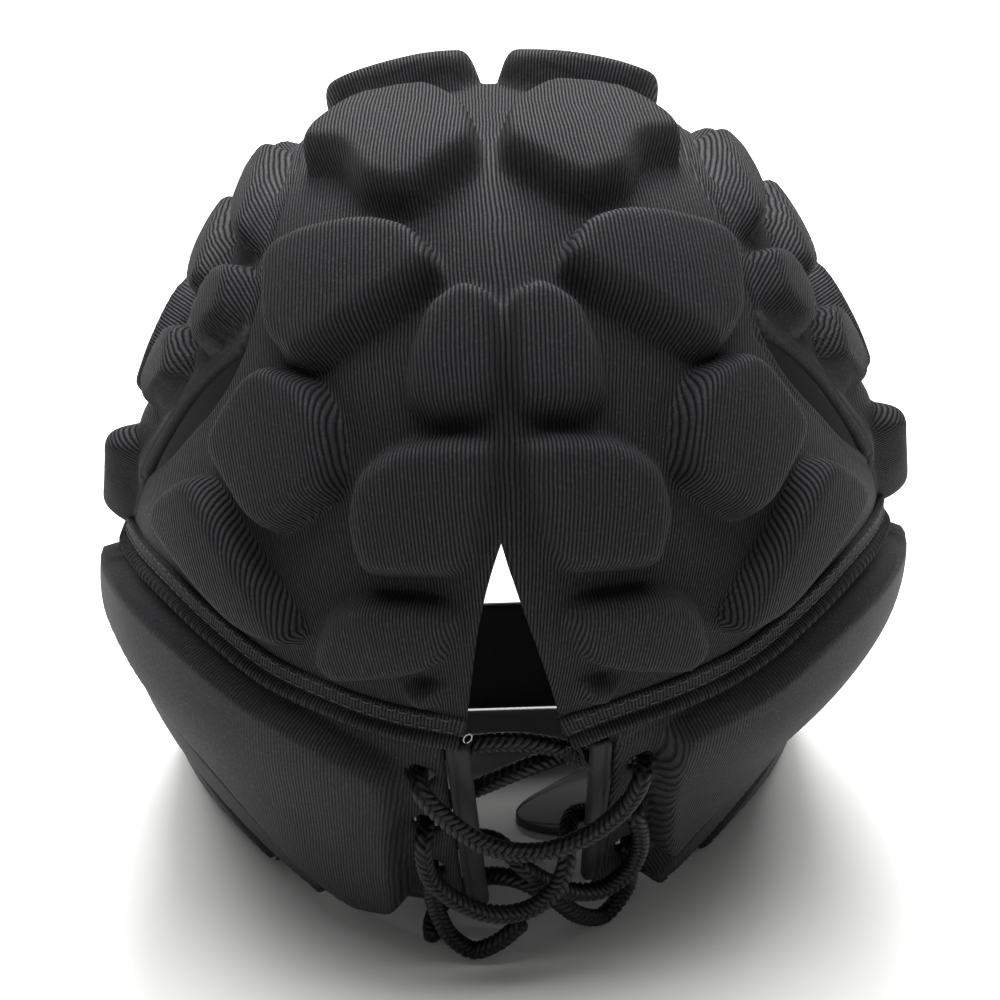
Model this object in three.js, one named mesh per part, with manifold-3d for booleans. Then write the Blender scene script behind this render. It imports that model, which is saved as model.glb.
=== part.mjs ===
// Rugby scrum cap: a soft shell of sewn panels with foam pads, open at the face and laced at the nape.
// Millimetres, +Z up, +Y to the wearer's face, +X to the wearer's right. The cap stands on z = 0.
import * as THREE from "three";
import { mergeVertices } from "three/addons/utils/BufferGeometryUtils.js";
import Module from "manifold-3d";

// Driving dimensions
const size = {
  shellWidth: 194, // over the cloth, without the pads
  shellLength: 216,
  shellHeight: 184,
  wall: 2.2, // outer cloth, thin foam and lining together
  seamGap: 0.54,
  padGap: 0.45,
  longPadGap: 0.65,
  padHeight: 9,
  pipingWidth: 3.8,
  pipingHeight: 2.6,
  tabThickness: 3.4,
  laceDiameter: 4.5,
  laceSides: 6,
  laceSteps: 100,
  eyeletDiameter: 6.4,
  earHoleWidth: 30,
  earHoleHeight: 34,
  strapWidth: 34,
  strapThickness: 2,
  closureLength: 34,
  closureHeight: 28,
  closureThickness: 1,
};

// Colours of the cloth, the smooth bindings and the cord, with how rough each is
const finishes = {
  ribbedCloth: { colour: 0x2b2b2d, roughness: 0.85 },
  bindingTape: { colour: 0x2f2f31, roughness: 0.7 },
  braidedCord: { colour: 0x1c1c1d, roughness: 0.8 },
  strapCloth: { colour: 0x202022, roughness: 0.75 },
};

// The shell from the crown down. down is the share of the way from the crown to the floor. height is a share
// of shellHeight, side of half the width, and back, front and middle of half the length. middle is where the
// plan of that level has its widest line, roundness is the power of its superellipse, and lean is how far the
// limp cloth hangs over to the left, as a share of half the width.
const shellLevels = [
  { down: 0, height: 1, side: 0, back: 0, front: 0, middle: 0, roundness: 2, lean: 0 },
  { down: 0.1, height: 0.99, side: 0.275, back: 0.29, front: 0.34, middle: 0, roundness: 2.1, lean: 0 },
  { down: 0.2, height: 0.95, side: 0.49, back: 0.54, front: 0.62, middle: 0, roundness: 2.2, lean: -0.01 },
  { down: 0.32, height: 0.85, side: 0.67, back: 0.77, front: 0.85, middle: 0, roundness: 2.2, lean: -0.02 },
  { down: 0.45, height: 0.7, side: 0.83, back: 0.93, front: 0.97, middle: 0, roundness: 2.2, lean: -0.02 },
  { down: 0.58, height: 0.54, side: 0.945, back: 0.99, front: 1, middle: 0, roundness: 2.1, lean: -0.018 },
  { down: 0.7, height: 0.39, side: 0.985, back: 0.97, front: 0.98, middle: 0.03, roundness: 1.95, lean: 0 },
  { down: 0.8, height: 0.26, side: 0.925, back: 0.89, front: 0.94, middle: 0.1, roundness: 1.8, lean: 0.038 },
  { down: 0.9, height: 0.13, side: 0.88, back: 0.78, front: 0.88, middle: 0.22, roundness: 1.7, lean: 0.055 },
  { down: 1, height: 0, side: 0.855, back: 0.65, front: 0.82, middle: 0.34, roundness: 1.6, lean: 0.055 },
];

// Seams on the crown map. The map lays the shell flat about the crown: the distance from [0, 0] is the share
// of the way down, the first number is to the side and the second to the back. Both sides use the same rows.
const seams = {
  centreLine: [[0, -0.6], [0, -0.4], [0, -0.2], [0, 0], [0, 0.2], [0, 0.4], [-0.008, 0.49]],
  browCentre: [[0, -0.6], [0.1, -0.592], [0.2, -0.565]],
  browSide: [[0.2, -0.565], [0.33, -0.5], [0.46, -0.386]],
  sideSeam: [
    [0.2, -0.565], [0.205, -0.4], [0.2, -0.2], [0.197, -0.03], [0.207, 0.06], [0.238, 0.125],
    [0.262, 0.17], [0.29, 0.222],
  ],
  ventInner: [[0.29, 0.222], [0.325, 0.237], [0.38, 0.232], [0.45, 0.21], [0.52, 0.155]],
  ventOuter: [[0.29, 0.222], [0.34, 0.204], [0.395, 0.187], [0.455, 0.172], [0.52, 0.155]],
  ventToSeam: [[0.52, 0.155], [0.58, 0.13], [0.64, 0.1]],
  lowerSeamBack: [
    [0.085, 0.68], [0.17, 0.655], [0.255, 0.615], [0.355, 0.545], [0.435, 0.452], [0.51, 0.342],
    [0.575, 0.235], [0.64, 0.1],
  ],
  lowerSeamSide: [[0.64, 0.1], [0.665, 0.01], [0.652, -0.1], [0.59, -0.24], [0.46, -0.386]],
  bandFront: [[0.46, -0.386], [0.64, -0.42], [0.78, -0.43], [0.9, -0.435]],
  bandFoot: [
    [0.37, 0.885], [0.57, 0.8], [0.75, 0.675], [0.92, 0.44], [1.02, 0.02], [0.98, -0.26], [0.9, -0.435],
  ],
};

// The laced gap and the nape pad's end on each side, in millimetres from the middle plane and above the floor
const gap = {
  left: {
    slitFoot: 9, bandTop: 74, bandFoot: 12, tabTop: 72.4, tabFoot: 14, edgeTop: 8.3, edgeFoot: 5.4,
    tabWidth: 5.6, padEdge: 23.3, padTop: 66, padFoot: 15, padCorner: [-0.4, 0.865],
    slitBends: [[-0.029, 0.541], [-0.046, 0.592]],
  },
  right: {
    slitFoot: 12, bandTop: 73, bandFoot: 20, tabTop: 71.4, tabFoot: 16, edgeTop: 18.2, edgeFoot: 17,
    tabWidth: 5.2, padEdge: 33.2, padTop: 65, padFoot: 23, padCorner: [0.49, 0.79],
    slitBends: [[0.008, 0.543], [0.038, 0.606]],
  },
};

// Pads of the crown and side panels: height is a share of padHeight, rings is how many inner rings follow the
// shell under the pad, and the outline is on the crown map
const pads = [
  {
    name: "front_pad", height: 1.0, rings: 1,
    outline: [
      [0.008, -0.12], [0.03, -0.088], [0.145, -0.092], [0.18, -0.13], [0.17, -0.24], [0.12, -0.29],
      [0.04, -0.3], [0.01, -0.22],
    ],
  },
  {
    name: "brow_pad", height: 0.9, rings: 1,
    outline: [
      [0.02, -0.34], [0.06, -0.325], [0.15, -0.33], [0.178, -0.38], [0.165, -0.5], [0.12, -0.545],
      [0.04, -0.555], [0.02, -0.45],
    ],
  },
  {
    name: "crown_pad", height: 1.0, rings: 1,
    outline: [
      [0.045, -0.022], [0.125, -0.012], [0.168, 0.03], [0.176, 0.06], [0.13, 0.093], [0.115, 0.155],
      [0.066, 0.188], [0.005, 0.125], [0.01, 0.04],
    ],
  },
  {
    name: "back_pad", height: 1.0, rings: 1,
    outline: [
      [0.045, 0.255], [0.062, 0.212], [0.1, 0.19], [0.205, 0.163], [0.232, 0.18], [0.24, 0.25],
      [0.205, 0.303], [0.165, 0.303], [0.075, 0.275],
    ],
  },
  {
    name: "centre_pad", height: 0.85, rings: 1,
    outline: [
      [0.003, 0.28], [0.03, 0.265], [0.068, 0.285], [0.089, 0.33], [0.092, 0.366], [0.06, 0.381],
      [0.003, 0.379],
    ],
  },
  {
    name: "outer_pad", height: 1.0, rings: 1,
    outline: [
      [0.168, 0.36], [0.185, 0.318], [0.235, 0.277], [0.265, 0.275], [0.323, 0.292], [0.332, 0.313],
      [0.297, 0.395], [0.268, 0.426], [0.172, 0.418],
    ],
  },
  {
    name: "slit_pad", height: 1.0, rings: 1,
    outline: [
      [0.006, 0.398], [0.1, 0.392], [0.152, 0.405], [0.171, 0.445], [0.163, 0.498], [0.068, 0.513],
      [0.044, 0.505], [0.01, 0.44],
    ],
  },
  {
    name: "bean_pad", height: 0.9, rings: 1,
    outline: [
      [0.062, 0.55], [0.08, 0.533], [0.17, 0.512], [0.225, 0.515], [0.26, 0.548], [0.235, 0.585],
      [0.145, 0.598], [0.088, 0.595],
    ],
  },
  {
    name: "seam_pad", height: 0.85, rings: 1,
    outline: [
      [0.44, 0.276], [0.372, 0.3], [0.35, 0.335], [0.292, 0.465], [0.27, 0.522], [0.295, 0.532],
      [0.362, 0.48], [0.45, 0.33], [0.463, 0.292],
    ],
  },
  {
    name: "dot_pad", height: 0.45, rings: 1,
    outline: [
      [0.093, 0.62], [0.12, 0.61], [0.147, 0.616], [0.141, 0.635], [0.107, 0.642],
    ],
  },
  {
    name: "side_pad_top", height: 0.75, rings: 1,
    outline: [
      [0.212, -0.03], [0.235, -0.06], [0.27, -0.035], [0.282, 0.03], [0.275, 0.095], [0.258, 0.125],
      [0.24, 0.108], [0.222, 0.06],
    ],
  },
  {
    name: "side_pad_high", height: 0.75, rings: 1,
    outline: [
      [0.298, -0.07], [0.335, -0.07], [0.365, -0.01], [0.368, 0.06], [0.35, 0.1], [0.322, 0.095],
      [0.303, 0.04],
    ],
  },
  {
    name: "side_pad_middle", height: 0.75, rings: 1,
    outline: [
      [0.262, 0.14], [0.29, 0.112], [0.325, 0.112], [0.352, 0.135], [0.348, 0.175], [0.325, 0.192],
      [0.285, 0.19],
    ],
  },
  {
    name: "side_pad_low", height: 0.75, rings: 1,
    outline: [
      [0.375, 0.105], [0.395, 0.065], [0.435, 0.055], [0.462, 0.09], [0.457, 0.135], [0.43, 0.155],
      [0.388, 0.167],
    ],
  },
  {
    name: "side_pad_seam", height: 0.9, rings: 1,
    outline: [
      [0.51, 0.07], [0.56, 0.0], [0.625, -0.015], [0.648, 0.03], [0.633, 0.084], [0.58, 0.113],
      [0.515, 0.125],
    ],
  },
  {
    name: "temple_pad_upper", height: 0.9, rings: 1,
    outline: [
      [0.225, -0.16], [0.29, -0.14], [0.35, -0.17], [0.37, -0.25], [0.34, -0.35], [0.27, -0.4],
      [0.228, -0.33],
    ],
  },
  {
    name: "temple_pad_lower", height: 0.9, rings: 1,
    outline: [
      [0.42, -0.1], [0.48, -0.04], [0.54, -0.05], [0.548, -0.13], [0.49, -0.28], [0.42, -0.35],
      [0.388, -0.3], [0.395, -0.18],
    ],
  },
];

// Long pads of the nape band, between an upper and a lower edge on the crown map, with the steps along them
const longPads = [
  {
    name: "nape_pad",
    height: 0.8,
    steps: 12,
    upper: [
      [0.25, 0.655], [0.37, 0.56], [0.45, 0.464], [0.53, 0.352], [0.6, 0.237], [0.648, 0.14],
      [0.672, 0.04],
    ],
    lower: [[0.505, 0.75], [0.56, 0.585], [0.62, 0.4], [0.685, 0.225], [0.712, 0.14], [0.725, 0.04]],
  },
  {
    name: "flap_pad_upper",
    height: 0.55,
    steps: 9,
    upper: [[0.48, 0.82], [0.55, 0.71], [0.605, 0.555], [0.66, 0.39], [0.7, 0.27], [0.725, 0.17]],
    lower: [[0.53, 0.83], [0.63, 0.69], [0.7, 0.505], [0.75, 0.35], [0.775, 0.25], [0.785, 0.17]],
  },
  {
    name: "flap_pad_lower",
    height: 0.4,
    steps: 12,
    upper: [[0.66, 0.74], [0.745, 0.55], [0.795, 0.35], [0.84, 0.12], [0.86, -0.1], [0.835, -0.36]],
    lower: [[0.7, 0.69], [0.86, 0.44], [0.945, 0.16], [0.965, 0.02], [0.94, -0.16], [0.875, -0.37]],
  },
];

// Lace eyelets: side is -1 on the left and 1 on the right, x and z in millimetres
const eyelets = [
  { side: -1, x: -19.5, z: 63 },
  { side: -1, x: -18.8, z: 46 },
  { side: -1, x: -18.5, z: 30 },
  { side: 1, x: 29.5, z: 62 },
  { side: 1, x: 28.5, z: 45 },
  { side: 1, x: 28, z: 27 },
];

// The lace from one free end to the other: x across, z above the floor and out behind the shell
const laceRoute = [
  { x: 3, z: 12, out: 6 },
  { x: -4, z: 6, out: 8.5 },
  { x: -9.5, z: 3.5, out: 9.5 },
  { x: -14.5, z: 7.5, out: 8.5 },
  { x: -17.5, z: 16, out: 6 },
  { x: -18.5, z: 24, out: 4.4 },
  { x: -18.5, z: 30, out: 2.6 },
  { x: -18.5, z: 30, out: -4 },
  { x: -15, z: 32, out: -7.5 },
  { x: -8, z: 36, out: -7.5 },
  { x: -3, z: 36.5, out: -5 },
  { x: 3, z: 32, out: 2.5 },
  { x: 9, z: 24.5, out: 4 },
  { x: 15, z: 19.5, out: 6 },
  { x: 22, z: 18.5, out: 8 },
  { x: 28, z: 25, out: 9 },
  { x: 30, z: 35, out: 7.5 },
  { x: 28.6, z: 44, out: 4 },
  { x: 28.5, z: 45, out: 1 },
  { x: 28.5, z: 45.5, out: -4.5 },
  { x: 24, z: 54, out: -8 },
  { x: 18, z: 61.5, out: -7.5 },
  { x: 11, z: 67, out: -6.5 },
  { x: 2, z: 70, out: -6 },
  { x: -8, z: 69, out: -6.5 },
  { x: -15, z: 66, out: -7.5 },
  { x: -19.3, z: 63.3, out: -4.5 },
  { x: -19.5, z: 63, out: 0 },
  { x: -19, z: 61.5, out: 4.5 },
  { x: -13, z: 54, out: 7 },
  { x: -4, z: 46.5, out: 8 },
  { x: 7, z: 43.5, out: 8.5 },
  { x: 18, z: 46, out: 8 },
  { x: 26, z: 53.5, out: 7.5 },
  { x: 29.3, z: 60.5, out: 5 },
  { x: 29.5, z: 62, out: 0 },
  { x: 29, z: 61.5, out: -5.5 },
  { x: 23, z: 57.5, out: -14 },
  { x: 14, z: 59.5, out: -13 },
  { x: 5, z: 60, out: -9 },
  { x: -5, z: 56, out: -7 },
  { x: -13, z: 50, out: -7.5 },
  { x: -18.5, z: 46.5, out: -5 },
  { x: -18.8, z: 46, out: 0 },
  { x: -19.3, z: 44, out: 5 },
  { x: -18.5, z: 35, out: 9 },
  { x: -13, z: 28, out: 10.5 },
  { x: -5, z: 23, out: 11 },
  { x: 3, z: 22, out: 10.5 },
  { x: 9.5, z: 27, out: 10 },
  { x: 12.5, z: 34, out: 7 },
  { x: 13, z: 39, out: 0.5 },
  { x: 14.5, z: 40, out: -7 },
  { x: 20, z: 36, out: -9.5 },
  { x: 26, z: 29.5, out: -7.5 },
  { x: 28, z: 27, out: -3 },
  { x: 28, z: 27, out: 2.4 },
  { x: 28.3, z: 19.5, out: 4 },
  { x: 27.5, z: 10.5, out: 6 },
  { x: 22, z: 4, out: 8 },
  { x: 16, z: 8, out: 7 },
  { x: 10, z: 15.5, out: 3 },
  { x: 2, z: 21, out: -3 },
  { x: -6, z: 19, out: -8 },
  { x: -13, z: 11, out: -8 },
  { x: -18, z: 6.5, out: -3 },
  { x: -19.5, z: 4.5, out: 3 },
  { x: -19, z: 3, out: 8 },
];

// Chin strap centre lines: x, y and the height z of the middle, the lean from upright to flat in degrees, and
// the width as a share of strapWidth
const strapRoutes = {
  long: [
    { x: -82, y: 20, z: 17.4, lean: 0, width: 1 },
    { x: -82, y: 28, z: 17.4, lean: 0, width: 1 },
    { x: -77, y: 37, z: 17.4, lean: 0, width: 1 },
    { x: -65, y: 40, z: 17.4, lean: 0, width: 1 },
    { x: -20, y: 40, z: 17.4, lean: 0, width: 1 },
    { x: 30, y: 40, z: 17.4, lean: 0, width: 1 },
    { x: 50, y: 39.5, z: 17.4, lean: 0, width: 1 },
    { x: 60, y: 36, z: 17.4, lean: 0, width: 1 },
    { x: 63.5, y: 27, z: 17.6, lean: 8, width: 1 },
    { x: 58.5, y: 18, z: 16, lean: 32, width: 1 },
    { x: 48.5, y: 7, z: 9.4, lean: 65, width: 1 },
    { x: 38, y: -4, z: 3.8, lean: 84, width: 0.95 },
    { x: 20, y: -15, z: 1.5, lean: 90, width: 0.8 },
    { x: 2, y: -21, z: 1.3, lean: 90, width: 0.35 },
  ],
  short: [
    { x: 72.2, y: 24, z: 17.4, lean: 0, width: 1 },
    { x: 72, y: 33, z: 17.4, lean: 0, width: 1 },
    { x: 67.5, y: 41.5, z: 17.4, lean: 0, width: 1 },
    { x: 57, y: 43.9, z: 17.4, lean: 0, width: 1 },
    { x: 42, y: 44, z: 17.4, lean: 0, width: 1 },
    { x: 22, y: 44, z: 17.4, lean: 0, width: 1 },
  ],
};

// A column of shellLevels as a smooth function of down that never overshoots its rows
function column(name) {
  const x = shellLevels.map((row) => row.down);
  const y = shellLevels.map((row) => row[name]);
  const last = x.length - 1;
  const step = (k) => x[k + 1] - x[k];
  const rise = (k) => (y[k + 1] - y[k]) / step(k);
  const slope = x.map((_, k) => {
    if (k === 0) return rise(0);
    if (k === last) return rise(last - 1);
    if (rise(k - 1) * rise(k) <= 0) return 0;
    const before = 2 * step(k) + step(k - 1);
    const after = step(k) + 2 * step(k - 1);
    return (before + after) / (before / rise(k - 1) + after / rise(k));
  });
  return (down) => {
    const at = Math.min(Math.max(down, 0), 1);
    let k = 0;
    while (k < last - 1 && at > x[k + 1]) k += 1;
    const h = step(k);
    const t = (at - x[k]) / h;
    return (
      (1 + 2 * t) * (1 - t) ** 2 * y[k] +
      t * (1 - t) ** 2 * h * slope[k] +
      t * t * (3 - 2 * t) * y[k + 1] +
      t * t * (t - 1) * h * slope[k + 1]
    );
  };
}

const level = {
  height: column("height"),
  side: column("side"),
  back: column("back"),
  front: column("front"),
  middle: column("middle"),
  roundness: column("roundness"),
  lean: column("lean"),
};

// The shell's outer face at a place on the crown map
function shellPoint(across, back) {
  const down = Math.hypot(across, back);
  if (down < 1e-9) return new THREE.Vector3(0, 0, size.shellHeight);
  const sine = across / down;
  const cosine = -back / down;
  const power = 2 / level.roundness(down);
  const half = size.shellLength / 2;
  const middle = level.middle(down) * half;
  const reach = cosine < 0 ? middle + level.back(down) * half : level.front(down) * half - middle;
  const halfWidth = size.shellWidth / 2;
  return new THREE.Vector3(
    halfWidth * (level.side(down) * Math.sign(sine) * Math.abs(sine) ** power - level.lean(down)),
    middle + reach * Math.sign(cosine) * Math.abs(cosine) ** power,
    level.height(down) * size.shellHeight,
  );
}

// The outward direction of the shell there, taken just inside the floor line for what lies on the floor
function shellNormal(across, back) {
  const step = 0.004;
  const down = Math.hypot(across, back);
  const inside = down > 1 - step ? (1 - step) / down : 1;
  const [x, y] = [across * inside, back * inside];
  const toSide = shellPoint(x + step, y).sub(shellPoint(x - step, y));
  const toBack = shellPoint(x, y + step).sub(shellPoint(x, y - step));
  return toBack.cross(toSide).normalize();
}

// A point lifted off the shell; the cloth from the floor line down lies flat on the floor
function lifted([across, back], lift) {
  const point = shellPoint(across, back).addScaledVector(shellNormal(across, back), lift);
  point.z = Math.hypot(across, back) < 1 ? Math.max(point.z, 0) : 0;
  return point;
}

// The place on the crown map that lies at x and z on the back of the shell
function napeSpot(x, z) {
  let high = 0;
  let low = 1;
  for (let turn = 0; turn < 40; turn += 1) {
    const middle = (high + low) / 2;
    if (level.height(middle) * size.shellHeight > z) high = middle;
    else low = middle;
  }
  const down = (high + low) / 2;
  const share = (x / (size.shellWidth / 2) + level.lean(down)) / level.side(down);
  const sine = Math.sign(share) * Math.abs(share) ** (level.roundness(down) / 2);
  return [down * sine, down * Math.sqrt(1 - sine * sine)];
}

// A point behind the nape, out from the shell straight back
function napePoint({ x, z, out }) {
  const point = shellPoint(...napeSpot(x, z));
  return new THREE.Vector3(x, point.y - out, z);
}

// Even samples along a smooth curve through rows on the crown map
function along(rows, steps) {
  const curve = new THREE.SplineCurve(rows.map(([across, back]) => new THREE.Vector2(across, back)));
  return curve.getSpacedPoints(steps).map((point) => [point.x, point.y]);
}

// Curves joined end to end, each with its own number of steps
function joined(...legs) {
  return legs.flatMap((leg, k) => (k ? leg.slice(1) : leg));
}

// A grid on the crown map filled between four edges: near and far run down, start and end run across
function filled(near, far, start, end) {
  const rows = near.length - 1;
  const columns = start.length - 1;
  const mix = (a, b, t) => a + (b - a) * t;
  return near.map((_, i) =>
    start.map((_, j) => {
      const v = i / rows;
      const u = j / columns;
      return [0, 1].map(
        (axis) =>
          mix(near[i][axis], far[i][axis], u) +
          mix(start[j][axis], end[j][axis], v) -
          mix(
            mix(near[0][axis], far[0][axis], u),
            mix(near[rows][axis], far[rows][axis], u),
            v,
          ),
      );
    }),
  );
}

// The grid drawn in from each edge that is a seam, by half the seam gap
function drawnIn(grid, seamed) {
  const rows = grid.length - 1;
  const columns = grid[0].length - 1;
  const pull = (from, to) => {
    const distance = shellPoint(...from).distanceTo(shellPoint(...to));
    const share = size.seamGap / 2 / distance;
    return [from[0] + (to[0] - from[0]) * share, from[1] + (to[1] - from[1]) * share];
  };
  const result = grid.map((row) => row.map((spot) => [...spot]));
  for (let i = 0; i <= rows; i += 1) {
    if (seamed.near) result[i][0] = pull(result[i][0], grid[i][1]);
    if (seamed.far) result[i][columns] = pull(result[i][columns], grid[i][columns - 1]);
  }
  for (let j = 0; j <= columns; j += 1) {
    if (seamed.start) result[0][j] = pull(result[0][j], result[1][j]);
    if (seamed.end) result[rows][j] = pull(result[rows][j], result[rows - 1][j]);
  }
  return result;
}

// A closed wall from cells of a sheet: each spot has an outer and an inner point, and open edges get a rim
function wallOf(spots, cells, outerLift, innerLift) {
  const outer = spots.map((spot) => lifted(spot, outerLift));
  const inner = spots.map((spot) => lifted(spot, innerLift));
  const triangles = [];
  const corner = (layer, index) => (layer === "outer" ? outer[index] : inner[index]);
  const edges = new Map();
  for (const [a, b, c, d] of cells) {
    triangles.push([corner("outer", a), corner("outer", b), corner("outer", c)]);
    triangles.push([corner("outer", a), corner("outer", c), corner("outer", d)]);
    triangles.push([corner("inner", a), corner("inner", c), corner("inner", b)]);
    triangles.push([corner("inner", a), corner("inner", d), corner("inner", c)]);
    for (const [from, to] of [[a, b], [b, c], [c, d], [d, a]]) {
      const back = `${to},${from}`;
      if (edges.has(back)) edges.delete(back);
      else edges.set(`${from},${to}`, [from, to]);
    }
  }
  for (const [from, to] of edges.values()) {
    triangles.push([outer[to], outer[from], inner[from]]);
    triangles.push([outer[to], inner[from], inner[to]]);
  }
  return facingOut(geometryOf(triangles));
}

// Cells of a grid numbered row by row, facing out on the right side and turned round on the left
function gridCells(rows, columns, side, number) {
  const cells = [];
  for (let i = 0; i < rows; i += 1) {
    for (let j = 0; j < columns; j += 1) {
      const cell = [number(i, j), number(i + 1, j), number(i + 1, j + 1), number(i, j + 1)];
      cells.push(side > 0 ? cell : cell.reverse());
    }
  }
  return cells;
}

function geometryOf(triangles) {
  const positions = triangles.flat().flatMap((point) => [point.x, point.y, point.z]);
  const geometry = new THREE.BufferGeometry();
  geometry.setAttribute("position", new THREE.Float32BufferAttribute(positions, 3));
  geometry.computeVertexNormals();
  return geometry;
}

const solids = await Module();
solids.setup();

// One geometry with others cut out of it
function cut(geometry, cutters) {
  const solid = (source) => {
    const bare = new THREE.BufferGeometry();
    const flat = source.index ? source.toNonIndexed() : source;
    bare.setAttribute("position", flat.getAttribute("position"));
    const merged = mergeVertices(bare, 1e-4);
    return new solids.Manifold(
      new solids.Mesh({
        numProp: 3,
        vertProperties: new Float32Array(merged.attributes.position.array),
        triVerts: new Uint32Array(merged.index.array),
      }),
    );
  };
  const mesh = cutters.reduce((rest, cutter) => rest.subtract(solid(cutter)), solid(geometry)).getMesh();
  const result = new THREE.BufferGeometry();
  result.setAttribute("position", new THREE.Float32BufferAttribute(mesh.vertProperties, 3));
  result.setIndex([...mesh.triVerts]);
  return result.toNonIndexed();
}

const mirrored = (rows, side) => rows.map(([across, back]) => [side * across, back]);
const sideName = (side) => (side < 0 ? "left" : "right");

// The crown panel: two halves that share the centre line down to the top of the slit
const crownRows = { centre: 15, slit: 7, sideSeam: 12, vent: 7, ventToSeam: 3 };
const crownColumns = 8;

function crownHalf(side) {
  const place = gap[sideName(side)];
  const foot = napeSpot(side * place.slitFoot, place.bandTop + 1.5);
  const slit = [seams.centreLine.at(-1), ...place.slitBends, foot];
  const near = joined(along(seams.centreLine, crownRows.centre), along(slit, crownRows.slit));
  const far = joined(
    along(mirrored(seams.sideSeam, side), crownRows.sideSeam),
    along(mirrored(seams.ventInner, side), crownRows.vent),
    along(mirrored(seams.ventToSeam, side), crownRows.ventToSeam),
  );
  const lower = [foot, ...mirrored(seams.lowerSeamBack, side).slice(1)];
  const start = along(mirrored(seams.browCentre, side), crownColumns);
  const grid = filled(near, far, start, along(lower, crownColumns));
  return drawnIn(grid, { far: true, end: true });
}

function crownPanel() {
  const rows = crownRows.centre + crownRows.slit;
  const spots = [];
  const cells = [];
  const centre = [];
  for (const side of [1, -1]) {
    const grid = crownHalf(side);
    const numbers = grid.map((row, i) =>
      row.map((spot, j) => {
        if (j === 0 && i <= crownRows.centre && side < 0) return centre[i];
        spots.push(spot);
        if (j === 0) centre[i] = spots.length - 1;
        return spots.length - 1;
      }),
    );
    cells.push(...gridCells(rows, crownColumns, side, (i, j) => numbers[i][j]));
  }
  return wallOf(spots, cells, 0, -size.wall);
}

// A side panel, from the brow to the vent's lower end
const sideColumns = 5;

function sidePanel(side) {
  const rows = crownRows.sideSeam + crownRows.vent;
  const near = joined(
    along(mirrored(seams.sideSeam, side), crownRows.sideSeam),
    along(mirrored(seams.ventOuter, side), crownRows.vent),
  );
  const far = along(mirrored([...seams.lowerSeamSide].reverse(), side), rows);
  const start = along(mirrored(seams.browSide, side), sideColumns);
  const end = along(mirrored(seams.ventToSeam, side), sideColumns);
  const grid = drawnIn(filled(near, far, start, end), { near: true, far: true, end: true });
  return gridWall(grid, side, 0, -size.wall);
}

function gridWall(grid, side, outerLift, innerLift) {
  const columns = grid[0].length;
  const cells = gridCells(grid.length - 1, columns - 1, side, (i, j) => i * columns + j);
  return wallOf(grid.flat(), cells, outerLift, innerLift);
}

// A nape band, from beside the lace tab round to the cheek, with its eyelets and its ear hole
const bandRows = { back: 9, side: 8 };
const bandColumns = 5;
const earSpot = [0.75, -0.12];

function napeBand(side) {
  const place = gap[sideName(side)];
  const start = Array.from({ length: bandColumns + 1 }, (_, j) => {
    const z = place.bandTop + (place.bandFoot - place.bandTop) * (j / bandColumns);
    return napeSpot(side * (gapEdge(place, z) + place.tabWidth + size.seamGap / 2), z);
  });
  const lower = [start[0], ...mirrored(seams.lowerSeamBack, side).slice(side < 0 ? 1 : 2)];
  const sideSeam = mirrored(seams.lowerSeamSide, side);
  const near = joined(along(lower, bandRows.back), along(sideSeam, bandRows.side));
  const footLine = [start.at(-1), ...mirrored(seams.bandFoot, side)];
  const far = along(footLine, bandRows.back + bandRows.side);
  const front = along(mirrored(seams.bandFront, side), bandColumns);
  const grid = drawnIn(filled(near, far, start, front), { near: true, start: true });
  const holes = eyelets.filter((eyelet) => eyelet.side === side).map(eyeletHole);
  return cut(gridWall(grid, side, 0, -size.wall), [...holes, earHole(side)]);
}

function eyeletHole({ x, z }) {
  const { y } = shellPoint(...napeSpot(x, z));
  const radius = size.eyeletDiameter / 2;
  return new THREE.CylinderGeometry(radius, radius, 12, 6).translate(x, y, z);
}

function earHole(side) {
  const centre = shellPoint(side * earSpot[0], earSpot[1]);
  return new THREE.CylinderGeometry(0.5, 0.5, 20, 12)
    .rotateZ(Math.PI / 2)
    .scale(1, size.earHoleWidth, size.earHoleHeight)
    .translate(centre.x, centre.y, centre.z);
}

// Each corner of an outline cut off once, which leaves two points a corner
function rounded(outline) {
  return outline.flatMap((spot, k) => {
    const before = outline[(k + outline.length - 1) % outline.length];
    const after = outline[(k + 1) % outline.length];
    const towards = (other) => spot.map((value, axis) => value + (other[axis] - value) * 0.25);
    return [towards(before), towards(after)];
  });
}

// The height and width of a pad's sides, as shares, from its foot to its shoulder
const padProfile = [
  { height: 0, width: 1 },
  { height: 0.62, width: 0.95 },
  { height: 0.92, width: 0.82 },
];

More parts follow.
